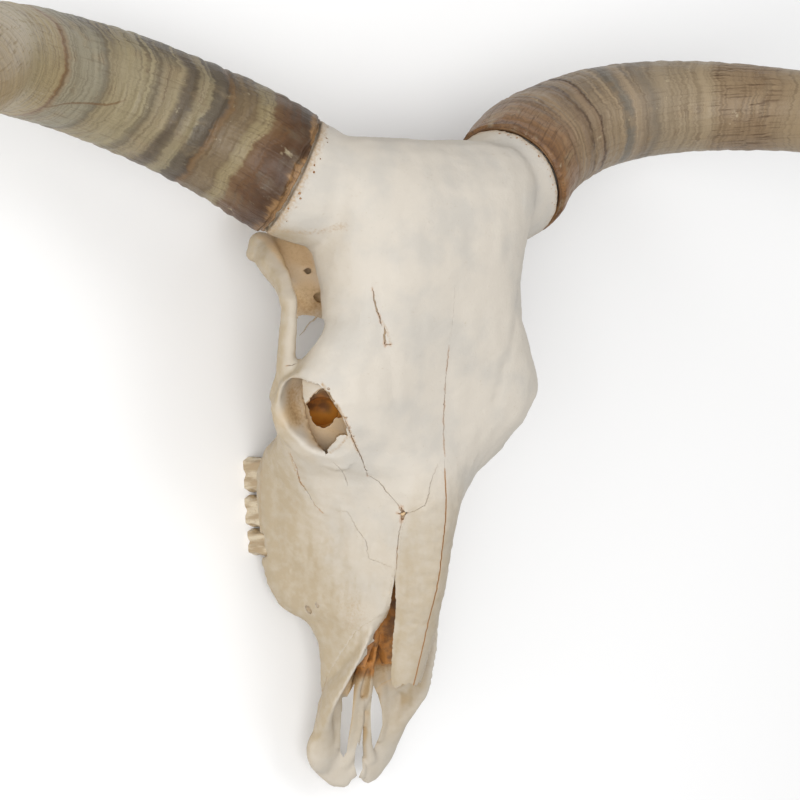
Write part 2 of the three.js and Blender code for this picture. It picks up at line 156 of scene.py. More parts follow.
def node_copies(node, shifts):
    """Merged copies of a CAD node, moved by each shift in mm to close the open seams."""
    work = bmesh.new()
    work.from_mesh(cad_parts[node].data)
    bmesh.ops.remove_doubles(work, verts=work.verts, dist=1e-6)
    mesh = bpy.data.meshes.new(node)
    work.to_mesh(mesh)
    work.free()
    copies = []
    for shift in shifts:
        copy = mesh.copy()
        copy.transform(Matrix.Translation(Vector(shift) * MM))
        copies.append(copy)
    return copies


def put_together(meshes):
    work = bmesh.new()
    for mesh in meshes:
        work.from_mesh(mesh)
    whole = bpy.data.meshes.new("whole")
    work.to_mesh(whole)
    work.free()
    return whole


def mesh_of(points, faces):
    mesh = bpy.data.meshes.new("made")
    mesh.from_pydata([tuple(p) for p in points], [], [tuple(face) for face in faces])
    work = bmesh.new()
    work.from_mesh(mesh)
    bmesh.ops.recalc_face_normals(work, faces=work.faces)
    work.to_mesh(mesh)
    work.free()
    return mesh


def wall_faces(rows, count, closed=True):
    """The faces between rows that have count points each, and close to rings or stay open."""
    return [(i * count + j, i * count + (j + 1) % count,
             (i + 1) * count + (j + 1) % count, (i + 1) * count + j)
            for i in range(rows - 1) for j in range(count if closed else count - 1)]


def loft(rings):
    """A closed skin through rings of points that follow each other, capped at both ends."""
    sides = len(rings[0])
    caps = [range(sides), range((len(rings) - 1) * sides, len(rings) * sides)]
    return mesh_of([p for ring in rings for p in ring], caps + wall_faces(len(rings), sides))


def sight_block(outline, near, far, spread=1.0, jag=0.0, seed=0):
    """A block whose outline is traced in the picture, from one depth to another in metres. Its far
    end is spread about its middle, and its edge is broken into steps of about 2 pixels."""
    draw = np.random.default_rng(seed)
    points = []
    for i, start in enumerate(outline):
        end = outline[(i + 1) % len(outline)]
        steps = max(1, round(math.dist(start, end) / 2)) if jag else 1
        for k in range(steps):
            f = k / steps
            points.append([start[0] + f * (end[0] - start[0]) + jag * draw.normal(),
                           start[1] + f * (end[1] - start[1]) + jag * draw.normal()])
    points = np.array(points)
    middle = points.mean(axis=0)
    ends = [[seen_at(*p, near) for p in points],
            [seen_at(*p, far) for p in middle + spread * (points - middle)]]
    return loft(ends)


def lump(middle, sizes, turn=(0, 0, 0)):
    """A rounded lump in the skull's frame, in mm."""
    work = bmesh.new()
    bmesh.ops.create_icosphere(work, subdivisions=4, radius=1)
    mesh = bpy.data.meshes.new("lump")
    work.to_mesh(mesh)
    work.free()
    spin = np.array(Euler(turn).to_matrix())
    put_points(mesh, from_skull((points_of(mesh) * sizes) @ spin.T + middle))
    return mesh


def points_of(mesh):
    flat = np.empty(3 * len(mesh.vertices), np.float32)
    mesh.vertices.foreach_get("co", flat)
    return flat.reshape(-1, 3).astype(np.float64)


def put_points(mesh, points):
    mesh.vertices.foreach_set("co", points.astype(np.float32).ravel())
    mesh.update()


def normals_of(mesh):
    flat = np.empty(3 * len(mesh.vertices), np.float32)
    mesh.vertex_normals.foreach_get("vector", flat)
    return flat.reshape(-1, 3).astype(np.float64)


def edges_of(mesh):
    flat = np.empty(2 * len(mesh.edges), np.int32)
    mesh.edges.foreach_get("vertices", flat)
    return flat.reshape(-1, 2)


def spread_out(values, edges, times):
    """Each vertex's values, averaged with its neighbours' again and again."""
    count = len(values)
    degree = np.maximum(1, np.bincount(edges.ravel(), minlength=count))[:, None]
    for _ in range(times):
        summed = np.stack([
            np.bincount(edges[:, 0], column[edges[:, 1]], count)
            + np.bincount(edges[:, 1], column[edges[:, 0]], count) for column in values.T], axis=1)
        values = values + 0.6 * (summed / degree - values)
    return values


def worn_round(mesh, times, held=None):
    """Takes the facets off. What the averaging shrinks is put back once from its own average."""
    edges = edges_of(mesh)
    before = points_of(mesh)
    soft = spread_out(before, edges, times)
    soft = soft + spread_out(before - soft, edges, times)
    if held is not None:
        soft = soft + held(in_skull(before))[:, None] * (before - soft)
    put_points(mesh, soft)


def ripple(points, size, seed):
    """Smooth random waves between about -1 and 1 over the points, about size across."""
    draw = np.random.default_rng(seed)
    total = np.zeros(len(points))
    for _ in range(16):
        direction = draw.normal(size=3)
        direction *= draw.uniform(0.6, 1.5) * 2 * math.pi / (size * np.linalg.norm(direction))
        total += np.sin(points @ direction + draw.uniform(0, 2 * math.pi))
    return total / 5


def ease(value, start, end):
    """0 at start, 1 at end, and smooth between them."""
    f = np.clip((value - start) / (end - start), 0, 1)
    return f * f * (3 - 2 * f)


SIDE, BACK, UP = 0, 1, 2


def within(points, *limits):
    """The share of points of the skull's frame inside soft limits, each given as an axis, the place in
    mm where it starts and where it is full. SIDE is the distance from the middle, on either side."""
    share = np.ones(len(points))
    for axis, start, full in limits:
        share *= ease(np.abs(points[:, SIDE]) if axis == SIDE else points[:, axis], start, full)
    return share


def near_spot(points, middle, sizes, sharpness=2):
    """1 at a spot, and falling to 0 beyond its sizes in mm."""
    return np.exp(-np.linalg.norm((points - middle) / sizes, axis=1) ** sharpness)


def on_left(points):
    """The points, with those of the skull's right side laid over its left side."""
    return np.abs(points) * [1, 0, 0] + points * [0, 1, 1]


def line_distance(points, line):
    """Distance of each point from a chain of straight stretches."""
    best = np.full(len(points), 1e9)
    for start, end in zip(line[:-1], line[1:]):
        start, end = np.array(start, float), np.array(end, float)
        along = end - start
        f = np.clip((points - start) @ along / (along @ along), 0, 1)
        best = np.minimum(best, np.linalg.norm(points - start - f[:, None] * along, axis=1))
    return best


HORN_LINE = [
    (28, 88, -50), (62, 97, -53), (100.5, 113.9, -64.2), (137.6, 138.2, -83.9), (175.6, 157, -96.4),
    (213.6, 170.8, -101.2), (250.6, 179.8, -98.2), (285.5, 184.5, -87), (317.4, 185.4, -67.3),
    (345.3, 182.7, -38.8), (368.1, 176.8, -1.2), (388, 168, 42), (409, 157, 86), (434, 145, 128),
    (465, 134, 166), (501, 125, 197), (540, 119, 221), (580, 117, 238), (618, 119, 248)]
RIM_INDEX = 2
RIM_RADIUS = 47.9
CURVE_STEPS = 40


def smooth_curve(points, steps):
    """A smooth line through the points, with its parameter spaced by the root of their distance."""
    knots = np.array(points, float)
    knots = np.vstack([2 * knots[0] - knots[1], knots, 2 * knots[-1] - knots[-2]])
    made = []
    for i in range(1, len(knots) - 2):
        gaps = [math.dist(knots[i + k], knots[i + k + 1]) ** 0.5 for k in (-1, 0, 1)]
        a, b, c, d = knots[i - 1:i + 3]
        leave = (b - a) / gaps[0] - (c - a) / (gaps[0] + gaps[1]) + (c - b) / gaps[1]
        reach = (c - b) / gaps[1] - (d - b) / (gaps[1] + gaps[2]) + (d - c) / gaps[2]
        leave, reach = leave * gaps[1], reach * gaps[1]
        for f in np.arange(0, 1, 1 / steps):
            made.append((2 * f**3 - 3 * f**2 + 1) * b + (f**3 - 2 * f**2 + f) * leave
                        + (3 * f**2 - 2 * f**3) * c + (f**3 - f**2) * reach)
    return np.array(made + [knots[-2]])


curve = smooth_curve(HORN_LINE, CURVE_STEPS)
rim_at = CURVE_STEPS * RIM_INDEX
lengths = np.concatenate([[0], np.cumsum(np.linalg.norm(np.diff(curve, axis=0), axis=1))])
lengths -= lengths[rim_at]
horn_length = lengths[-1]


def horn_spots(s, radius, round_angle):
    """Points round the horn's middle line, in the skull's frame, for the left horn."""
    at = np.stack([np.interp(s, lengths, column) for column in curve.T], axis=-1)
    ahead = np.stack([np.interp(s + 2, lengths, column) for column in curve.T], axis=-1)
    behind = np.stack([np.interp(s - 2, lengths, column) for column in curve.T], axis=-1)
    along = ahead - behind
    along /= np.linalg.norm(along, axis=-1, keepdims=True)
    right = np.cross((0, 0, 1), along)
    right /= np.linalg.norm(right, axis=-1, keepdims=True)
    top = np.cross(along, right)
    off = np.cos(round_angle)[..., None] * right + np.sin(round_angle)[..., None] * top
    return at + radius[..., None] * off


def full_turn(count):
    return np.linspace(0, 2 * math.pi, count, endpoint=False)


def horn_ring(s, radius, count, sign):
    """A ring of points round one horn, s mm beyond its rim."""
    ring = horn_spots(np.full(count, float(s)), np.full(count, radius), full_turn(count))
    return from_skull(ring * [sign, 1, 1])


def past_rim(points):
    """How far points of the skull's frame are beyond the rim of the horn on their side, in mm."""
    ahead = curve[rim_at + 1] - curve[rim_at - 1]
    return (on_left(points) - curve[rim_at]) @ (ahead / np.linalg.norm(ahead))


# the pieces of the frame as one body: thin open seams are filled by copies moved by less than 3 mm
COARSE_PITCH = 0.002
FINE_PITCH = 0.0014
SIDES = (("left", 1), ("right", -1))
SIDE_SHIFTS = [(0, 0, 0), (0.5, 0, 0), (-0.5, 0, 0), (0, 0.7, 0)]
FRONT_SHIFTS = [(0, 0, 0), (0, 1.2, 0), (0, 2.4, 0), (0.6, 0, 0), (-0.6, 0, 0), (0, 0, 0.6), (0, 0, -0.6)]
bodies = node_copies("cranium", [(0, 0, 0)])
for side, _ in SIDES:
    bodies += node_copies("nasal_bone_" + side, SIDE_SHIFTS)
    bodies += node_copies("premaxilla_" + side, FRONT_SHIFTS)
# the broad tip of the right front jaw bone
bodies.append(lump((-33, -334, -141), (14, 19, 7.5), (0.1, 0.1, 0.25)))

# the hinge knob under the horn has two lobes, and an edge runs from it along the cheek arch
KNOB = [(100.9, 67.3, -113.5, 7), (102.9, 58.3, -116, 6.5)]
ARCH_EDGE = [(105.4, 50.9, -94), (103.9, 42.9, -82), (105.4, 32.9, -71), (107, 22.5, -66)]
ARCH_EDGE_RADIUS = 4.6
for _, sign in SIDES:
    for x, y, z, radius in KNOB:
        bodies.append(lump((sign * x, y, z), (radius, radius, radius)))
    for start, end in zip(ARCH_EDGE[:-1], ARCH_EDGE[1:]):
        for f in (0, 0.35, 0.7, 1):
            x, y, z = (a + f * (b - a) for a, b in zip(start, end))
            bodies.append(lump((sign * x, y, z), [ARCH_EDGE_RADIUS] * 3))
whole_bone = even_skin(put_together(bodies), COARSE_PITCH)
worn_round(whole_bone, 7, lambda p: 0.6 * within(p, (BACK, -225, -250)))
worn_round(whole_bone, 30, lambda p: 1 - within(p, (SIDE, 70, 84), (BACK, 62, 80), (SIDE, 128, 118)))

# Inside the nose: the wall between the two halves, and the scrolls that hang from the side walls.
# They are brittle, porous and stained brown. Thin plates round the temple and the eye socket are
# added here as well, because the first rounding would have worn them through.


def scroll(sign):
    """The lower scroll of the nose on one side: a lumpy roll along it, on a shelf from the wall."""
    draw = np.random.default_rng(31)
    rings = []
    for y in range(-266, -148, 6):
        f = ease(y, -268, -240)
        out, high = 4.5 + 4 * f, 6 + 8 * f
        middle = (12 + 1.5 * math.sin(y / 9), -114 + 10 * ease(y, -260, -200))
        rings.append(from_skull([
            (sign * (middle[0] + out * (1 + 0.12 * draw.normal()) * math.cos(a)), y + draw.normal(),
             middle[1] + high * (1 + 0.1 * draw.normal()) * math.sin(a))
            for a in full_turn(14)]))
    return loft(rings)


def strip(sections):
    """A flat body through rectangles of the skull's frame: y, then both x and both z limits."""
    return loft([from_skull([(x1, y, z1), (x2, y, z1), (x2, y, z2), (x1, y, z2)])
                 for y, x1, x2, z1, z2 in sections])


def traced_plate(outline, thick):
    """A plate whose outline is traced in the picture, with a depth in metres at each corner."""
    return loft([[seen_at(x, y, depth + more) for x, y, depth in outline] for more in (0, thick)])


def rod(stations):
    """A bar of oval sections in the skull's frame: x, y, z, half width and half height of each."""
    return loft([from_skull([(x + wide * math.cos(a), y, z + high * math.sin(a)) for a in full_turn(12)])
                 for x, y, z, wide, high in stations])


TEMPLE_WALL = [(295, 280, 1.5505), (312, 278, 1.552), (328, 280, 1.5535),
               (328, 321, 1.560), (312, 318, 1.5575), (295, 318, 1.5555)]
SOCKET_PLATE = [(350, 426, 1.4835), (360, 437, 1.4885), (359, 455, 1.4995), (348, 469, 1.5095),
                (335, 471, 1.515), (321, 464, 1.514), (322, 452, 1.507), (338, 432, 1.4895)]
NOSE_WALL = [(-150, -1.5, 1.5, -146, -85), (-220, -1.5, 1.5, -143, -100), (-262, -1.6, 1.6, -137, -113),
             (-290, -1.8, 1.8, -135, -119), (-303, -1.6, 1.6, -135, -127)]
extra = [traced_plate(TEMPLE_WALL, 0.010), traced_plate(SOCKET_PLATE, 0.003), strip(NOSE_WALL)]

# the side edges of the nasal bones reach further down in front: y, then x and z of both edges
NASAL_SIDES = [(-182, 18, -37, 26, -48.6), (-195, 18, -41.3, 25, -51), (-218, 15.5, -46.9, 23, -56.1),
               (-232, 14.5, -51.1, 22.5, -60.1), (-254, 12.5, -58.8, 20, -69.5),
               (-277, 10.5, -67, 17.5, -78.2)]
INWARD, DOWNWARD = 2.4, 1.9
for _, sign in SIDES:
    extra.append(loft([from_skull([
        (sign * x1, y, z1), (sign * x2, y, z2), (sign * (x2 - INWARD), y, z2 - DOWNWARD),
        (sign * (x1 - INWARD), y, z1 - DOWNWARD)]) for y, x1, z1, x2, z2 in NASAL_SIDES]))

# the front of the palate: the splint of the right front jaw bone, the shelves beside the slots, and
# the two blunt ends beside the cleft of the tip
RIGHT_SPLINT = [(-6, -262, -119, 2.6, 6.5), (-8.5, -284, -127, 3.6, 5.5), (-9.5, -300, -129.5, 4.2, 5),
                (-9.5, -315, -131.5, 4.2, 4.5), (-11, -329, -135, 4.2, 4), (-13, -341, -139, 4.2, 4)]
RIGHT_SHELF = [(-24, -284, -134, 5.5, 4), (-24, -298, -132, 5.5, 3), (-24, -315, -133, 5.5, 3),
               (-22, -332, -137.5, 5.5, 3.5)]
LEFT_SHELF = [(22, -284, -134, 5.5, 4), (21.5, -298, -131.5, 5.5, 3), (22, -315, -133, 5.5, 3),
              (19, -332, -137.5, 5.5, 3.5)]
extra += [rod(stations) for stations in (RIGHT_SPLINT, RIGHT_SHELF, LEFT_SHELF)]
extra += [lump((-5.5, -351, -139.5), (5, 9, 5)), lump((3.6, -353, -139.5), (4, 8, 4.6))]

# each horn core swells to a low burr just behind the rim of its sheath: place and radius
BURR = [(-60, 38), (-40, 42), (-24, 43.8), (-14, 44.8), (-6, 45.6), (-3, 46), (-1.7, 45.4)]
for _, sign in SIDES:
    extra.append(loft([horn_ring(s, radius, 64, sign) for s, radius in BURR]))
SCROLL_SHELF = [(-150, 12, 47, -106, -103), (-190, 12, 43, -106, -103), (-215, 12, 39, -107, -104),
                (-240, 12, 35.5, -111, -108)]
for _, sign in SIDES:
    extra.append(scroll(sign))
    extra.append(strip([(y, sign * x1, sign * x2, z1, z2) for y, x1, x2, z1, z2 in SCROLL_SHELF]))
whole_bone = even_skin(put_together([whole_bone] + extra), FINE_PITCH)
worn_round(whole_bone, 3)
worn_round(whole_bone, 40,
           lambda p: 1 - within(p, (SIDE, 58, 72), (BACK, 62, 80)) * ease(-past_rim(p), 7, 16))

# relief of the bone's outside, in mm along its normals: waves of four sizes, the groove above each eye,
# and the swelling and dent of the upper jaw
GROOVE = [(68, 31, -9), (62, 4, -6), (59, -12, -6), (52, -27, -8), (47, -54, -11)]
GROOVE_DEPTH, GROOVE_WIDTH = 1.0, 4.5
spots = points_of(whole_bone)
skull_spots = in_skull(spots)
on_either_side = on_left(skull_spots)
roughness = 0.12 + 0.18 * within(skull_spots, (BACK, -80, -200))
relief = 0.55 * ripple(skull_spots, 60, 1) + 0.3 * ripple(skull_spots, 22, 2)
relief += roughness * ripple(skull_spots, 8, 3) + 0.07 * ripple(skull_spots, 3.4, 4)
relief -= GROOVE_DEPTH * np.exp(-(line_distance(on_either_side, GROOVE) / GROOVE_WIDTH) ** 2)
relief += 2.2 * near_spot(on_either_side, [70, -166, -125], [10, 22, 16])
relief -= 1.6 * near_spot(on_either_side, [66, -190, -128], [9, 9, 14])
relief *= 1 - 0.75 * within(skull_spots, (BACK, -225, -265))
relief *= ease(spots[:, 2], 0.002, 0.012)
put_points(whole_bone, spots + normals_of(whole_bone) * (relief * MM)[:, None])

# breaks and openings, traced in the camera's picture
WINDOW = [(298, 316.2), (302.4, 315), (312.8, 315.7), (324.5, 319.7), (324.5, 325.7), (321.5, 334.4),
          (314.5, 344.8), (305.9, 355.2), (300.7, 359.5), (298.9, 351.7), (297.7, 339.6)]
EYE_MOUTH = [(303.3, 379.1), (300, 392), (303, 412), (309, 434), (318, 450), (327, 459), (330, 450.5),
             (340.5, 437.5), (350, 436), (344, 417), (337, 403.7), (330, 393.3), (324, 387.2), (314, 380)]
SINUS_HOLE = [(324, 386.7), (327.5, 391.6), (331.9, 398.5), (337, 407.2), (343.5, 418.4), (336.2, 417.6),
              (334.5, 421), (331.9, 426.2), (323.2, 429.2), (316.3, 427.1), (311.9, 421.9),
              (309.3, 415.8), (307.6, 407.2), (305, 403.7), (312.8, 395), (316.3, 390.7)]
THIN_PLATE = [(302.5, 372), (316, 368), (328, 386), (324, 387), (316.3, 391), (305, 403.7), (303, 396)]
NOSE_SLOT = [(395, 574), (393.4, 585.6), (391.3, 598), (389.2, 612.6), (378.8, 627.2), (373, 634.5),
             (374.5, 641), (367.4, 646), (366.3, 656), (360, 670.9), (353.8, 683.4), (347.6, 695.8),
             (341.4, 712.5), (340.3, 731.2), (347, 731), (356, 700), (370, 690), (391.5, 688),
             (391.3, 668.8), (392.3, 648), (393.4, 631.4), (395.4, 618.9), (395.9, 602.2)]
LEFT_GAP = [(354.5, 683.4), (353.8, 689.6), (351.8, 716.6), (348.6, 737.4), (346.6, 752), (343.4, 757.2),
            (340.3, 752), (340.3, 731), (341.4, 712.5), (347.6, 695.8)]
RIGHT_GAP = [(373.6, 685.4), (378.8, 697.9), (381.9, 710.4), (382.5, 725), (378.8, 737.4), (373.6, 748.9),
             (372.1, 743.7), (370.9, 727), (370.5, 710.4), (372.1, 693.8)]
TIP_GAP = [(358, 741.6), (362.2, 758.2), (362.6, 768.6), (358.4, 778), (357.6, 778), (354.3, 764.5),
           (355.5, 749.9)]
NASAL_BREAK = [(389, 684), (392.3, 685.4), (397.5, 691), (401.7, 683.4), (405.8, 684.4), (409, 682.3),
               (417.3, 687.5), (418.3, 682.3), (426.6, 684.4), (428.7, 677), (440, 676), (440, 720),
               (389, 720)]
# each outline, the nearest and farthest depth of its cut in metres, the spread of its far end, and
# how ragged it is in pixels
CUTS = [(WINDOW, 1.40, 1.75, 1.0, 0.15), (EYE_MOUTH, 1.44, 1.535, 0.85, 0.8),
        (NOSE_SLOT, 1.45, 1.60, 1.0, 0.25), (LEFT_GAP, 1.50, 1.80, 1.0, 0), (RIGHT_GAP, 1.58, 1.80, 1.0, 0),
        (TIP_GAP, 1.50, 1.80, 1.0, 0), (NASAL_BREAK, 1.45, 1.60, 1.0, 0.3)]
for outline, near, far, spread, jag in CUTS:
    cut = sight_block(outline, near, far, spread, jag, seed=len(outline))
    whole_bone = combined(whole_bone, cut, "DIFFERENCE")
# a thin plate of bone fills the upper end of the eye socket, down to the ragged hole into the sinus
whole_bone = combined(whole_bone, sight_block(THIN_PLATE, 1.4895, 1.492, 1.0, 0.3, 5), "UNION")
whole_bone = combined(whole_bone, sight_block(SINUS_HOLE, 1.46, 1.568, 0.9, 0.5, 6), "DIFFERENCE")


def skull_spot(across, down, depth):
    return tuple(in_skull(np.array([seen_at(across, down, depth)]))[0])


def round_hole(across, down, radius, near, far):
    """A slightly uneven round channel along the camera's line of sight; its radius is in pixels."""
    rim = [(across + radius * (1 + 0.1 * math.sin(2.3 * a)) * math.cos(a), down + radius * math.sin(a))
           for a in full_turn(14)]
    return sight_block(rim, near, far)


# the sinus behind the eye socket, the dent and the two holes of the temple's wall, and the two small
# openings for nerves low on the cheek
hollows = [
    lump(skull_spot(321, 411, 1.566), (14, 11, 12)), lump(skull_spot(319, 296.5, 1.5565), (7, 5, 4.5)),
    round_hole(308, 271, 3.3, 1.545, 1.564), round_hole(304.4, 270.6, 1.1, 1.545, 1.556),
    lump(skull_spot(309.3, 609, 1.5858), (4.5, 4, 3.2)),
    lump(skull_spot(317.4, 605, 1.5772), (2.3, 2.2, 1.8))]
for hollow in hollows:
    whole_bone = combined(whole_bone, hollow, "DIFFERENCE")

# a thin splinter still hangs from the broken lower edge of the temple's wall: its line in the picture,
# and its radius in mm
SPLINTER = [(318.5, 314, 1.2), (316.5, 317, 0.9), (313.5, 320.5, 0.7), (310.5, 322, 0.55), (307, 326, 0.5),
            (304, 331, 0.45), (299.5, 335.5, 0.3)]
SPLINTER_DEPTH = 1.5585
MM_PER_PIXEL = 0.75
splinter = []
for across, down, radius in SPLINTER:
    pixels = radius / MM_PER_PIXEL
    splinter.append([seen_at(across + pixels * math.cos(a), down + 0.6 * pixels * math.sin(a),
                             SPLINTER_DEPTH + radius * MM * math.sin(a)) for a in full_turn(7)])
whole_bone = combined(whole_bone, loft(splinter), "UNION")

# Cracks of the drying bone, and the half closed sutures, traced in the picture: each line has half its
# greatest width in mm, and is cut as a wedge that follows the bone's surface and closes at its ends.
CRACKS = [
    (0.65, [(372.6, 287.6), (375, 303), (378.6, 315), (382, 326)]),
    (0.95, [(384.9, 326.5), (384.3, 337), (385.2, 346)]),
    (0.35, [(384.8, 344.8), (391.5, 344)]),
    (0.3, [(285.5, 366), (292, 365.2), (300, 361.6)]),
    (0.4, [(343.5, 416), (351, 435), (355, 445), (361, 457), (368, 476)]),
    (0.32, [(361, 457), (367.5, 475), (378.8, 481.6), (387, 492), (397.5, 504.5), (402, 513)]),
    (1.8, [(401.6, 507.5), (403, 513.2), (401, 520.5)]),
    (0.9, [(397.5, 513.2), (402.5, 514.2), (408.5, 512.6)]),
    (0.22, [(339.7, 467), (345.7, 478), (347.6, 486)]),
    (0.18, [(333, 462), (339, 468), (343.4, 471)]),
    (0.14, [(336, 510.7), (347.6, 511.8), (355.9, 527.4), (366.3, 542), (368.4, 558.6), (385, 564.8),
            (392, 568)]),
    (0.34, [(289.4, 452.5), (295.6, 465), (299.8, 481.6), (306, 490), (314.3, 504.5), (322.6, 512.8)]),
    (0.34, [(327, 676), (326.2, 681), (321.6, 693.7), (318.5, 712.5)]),
    (0.34, [(445, 456), (443.6, 436), (443.3, 420), (444.5, 400), (446, 375), (449.4, 345)]),
    (0.05, [(450, 342), (453, 318), (455, 284)]),
    (0.28, [(401.8, 519), (399.6, 529.4), (397.5, 548), (397, 560), (395.5, 575)]),
    (0.2, [(406.9, 513.2), (415.2, 510.7), (424.5, 505.5), (428.7, 496), (430.8, 481.6), (438, 464)])]
# the rays that find the bone's surface start this far from the camera, in metres
NEAREST_BONE = 1.3


def ray_tree(mesh):
    return bvhtree.BVHTree.FromPolygons([v.co for v in mesh.vertices], [p.vertices for p in mesh.polygons])


surface = ray_tree(whole_bone)


def followed(line, step, jag, draw):
    """Points and normals of the bone's surface along a traced line, about step pixels apart."""
    found = []
    for start, end in zip(line[:-1], line[1:]):
        steps = max(1, round(math.dist(start, end) / step))
        for k in range(steps + (end == line[-1])):
            across, down = (a + k / steps * (b - a) + jag * draw.normal() for a, b in zip(start, end))
            ray = sight_line(across, down).normalized()
            spot, normal, _, _ = surface.ray_cast(camera.location + NEAREST_BONE * ray, ray)
            if spot is not None:
                found.append((spot, normal if normal.dot(ray) < 0 else -normal))
    return found


def crack_wedge(found, half_width, draw):
    """A wedge along points of the surface: it stands out of the bone, and gets narrower downwards."""
    rings = []
    for i, (spot, normal) in enumerate(found):
        along = found[min(i + 1, len(found) - 1)][0] - found[max(i - 1, 0)][0]
        aside = along.cross(normal).normalized()
        off_middle = abs(2 * i / (len(found) - 1) - 1)
        half = MM * (0.05 + half_width * (1 - off_middle ** 2.5) * draw.uniform(0.7, 1.15))
        up, down = 0.8 * MM * normal, (0.6 * MM + 2.2 * half) * normal
        top, bottom = 1.3 * half * aside, 0.25 * half * aside
        rings.append([spot + up + top, spot + up - top, spot - down - bottom, spot - down + bottom])
    return loft(rings)


def traced_line(found):
    return in_skull(np.array([spot for spot, _ in found]))


wedges = []
crack_lines = []
crack_draw = np.random.default_rng(9)
for half_width, line in CRACKS:
    found = followed(line, 2.2, 0.28, crack_draw)
    crack_lines.append((half_width, traced_line(found)))
    wedges.append(crack_wedge(found, half_width, crack_draw))

# Pits of the porous bone: small hollows strewn without touching each other, round the burrs and along
# the crumbled edge above the eye socket.
PIT_SPACING = 0.0034
LARGEST_PIT = 0.0012
SMALLEST_SHARE = 0.35
PITS_PER_SQUARE_METRE = 60000
PIT_SEED = 5
bone = bpy.data.materials.new("bone")


def strewn_pits(patch):
    """Closed pits as one mesh, strewn on a patch by a Geometry Nodes tree."""
    tree = bpy.data.node_groups.new("strewn pits", "GeometryNodeTree")
    for name, kind in (("Patch", "Geometry"), ("Apart", "Float"), ("Largest", "Float"), ("Seed", "Int"),
                       ("Material", "Material")):
        tree.interface.new_socket(name, in_out="INPUT", socket_type="NodeSocket" + kind)
    tree.interface.new_socket("Pits", in_out="OUTPUT", socket_type="NodeSocketGeometry")
    strewn = tree.nodes.new("GeometryNodeDistributePointsOnFaces")
    strewn.distribute_method = "POISSON"
    strewn.inputs["Density Max"].default_value = PITS_PER_SQUARE_METRE
    pit = tree.nodes.new("GeometryNodeMeshIcoSphere")
    pit.inputs["Subdivisions"].default_value = 2
    size = tree.nodes.new("FunctionNodeRandomValue")
    size.inputs[2].default_value = SMALLEST_SHARE
    placed = tree.nodes.new("GeometryNodeInstanceOnPoints")
    real = tree.nodes.new("GeometryNodeRealizeInstances")
    painted = tree.nodes.new("GeometryNodeSetMaterial")
    given = tree.nodes.new("NodeGroupInput").outputs
    made = tree.nodes.new("NodeGroupOutput").inputs
    for out, node, into in (
            (given["Patch"], strewn, "Mesh"), (given["Apart"], strewn, "Distance Min"),
            (given["Seed"], strewn, "Seed"), (given["Seed"], size, "Seed"),
            (given["Largest"], pit, "Radius"),
            (strewn.outputs["Points"], placed, "Points"), (pit.outputs["Mesh"], placed, "Instance"),
            (size.outputs[1], placed, "Scale"), (placed.outputs["Instances"], real, "Geometry"),
            (real.outputs["Geometry"], painted, "Geometry"), (given["Material"], painted, "Material")):
        tree.links.new(out, node.inputs[into])
    tree.links.new(painted.outputs["Geometry"], made["Pits"])
    sockets = {item.name: item.identifier for item in tree.interface.items_tree}

    def change(carrier):
        nodes = carrier.modifiers.new("pits", "NODES")
        nodes.node_group = tree
        nodes[sockets["Apart"]] = PIT_SPACING
        nodes[sockets["Largest"]] = LARGEST_PIT
        nodes[sockets["Seed"]] = PIT_SEED
        nodes[sockets["Material"]] = bone
    return evaluated(patch, change)


def sheet(rows, closed):
    return mesh_of([p for row in rows for p in row], wall_faces(len(rows), len(rows[0]), closed))


PITTED_RINGS = ((-9, 44.6), (-6, 45.4), (-3, 45.7))
CRUMBLED = [(323.5, 383), (332.5, 395), (339, 406), (346, 419), (351.5, 433), (356.5, 448)]
HALF_CRUMBLED = 0.0017
pitted = [sheet([horn_ring(s, radius, 96, sign) for s, radius in PITTED_RINGS], True) for _, sign in SIDES]
edge_points = followed(CRUMBLED, 3, 0, crack_draw)
pitted.append(sheet([[spot + side * Vector((HALF_CRUMBLED, 0, 0)) for spot, _ in edge_points]
                     for side in (-1, 1)], False))
crumbled_line = traced_line(edge_points)
whole_bone = combined(whole_bone, put_together(wedges), "DIFFERENCE")
whole_bone = combined(whole_bone, strewn_pits(put_together(pitted)), "DIFFERENCE")

# outlines of the nasal bones and the front jaw bones, in mm in the skull's frame, cut on the sutures
NASAL_EDGE = [(3, -98), (8, -109), (11, -117), (13.5, -125.5), (20, -133), (24.5, -138), (25, -150),
              (24.5, -166), (25, -185), (26, -195), (26, -222), (25, -250), (24, -276), (24, -300)]
NASAL_MIDDLE = (-300, -240, -200, -170, -140, -125, -112, -98)
NASAL_UNDER, NASAL_OVER = -76, 40
FRONT_SUTURE = [(-218, -62), (-232, -84), (-246, -98), (-266, -117), (-284, -131)]
AROUND_FRONT = [(-293.2, -134), (-293.2, -175), (-400, -175), (-400, 0), (-218, 0)]
FRONT_CLEFT = 0.1
HALF_HEAD = 90
HAIRLINE = 0.05
PAST_MIDDLE = 0.5


def wavering(line, size, seed):
    """A line in steps of about 1.5 mm that wanders to either side, as a suture does."""
    draw = np.random.default_rng(seed)
    made = [line[0]]
    for start, end in zip(line[:-1], line[1:]):
        steps = max(1, round(math.dist(start, end) / 1.5))
        for k in range(1, steps + 1):
            f = k / steps
            off = size * draw.normal(size=len(start)) * (k < steps)
            made.append(tuple(np.array(start) + f * (np.array(end) - start) + off))
    return made


def upright_block(outline, low, high):
    return loft([from_skull([(x, y, z) for x, y in outline]) for z in (low, high)])


def side_block(outline, near, far):
    return loft([from_skull([(x, y, z) for y, z in outline]) for x in (near, far)])


def nasal_gap(y):
    """Half of the gap between the two nasal bones, in mm. It is widest half way along them."""
    return 0.08 + 0.2 * float(ease(-y, 105, 130) * ease(y, -270, -200))


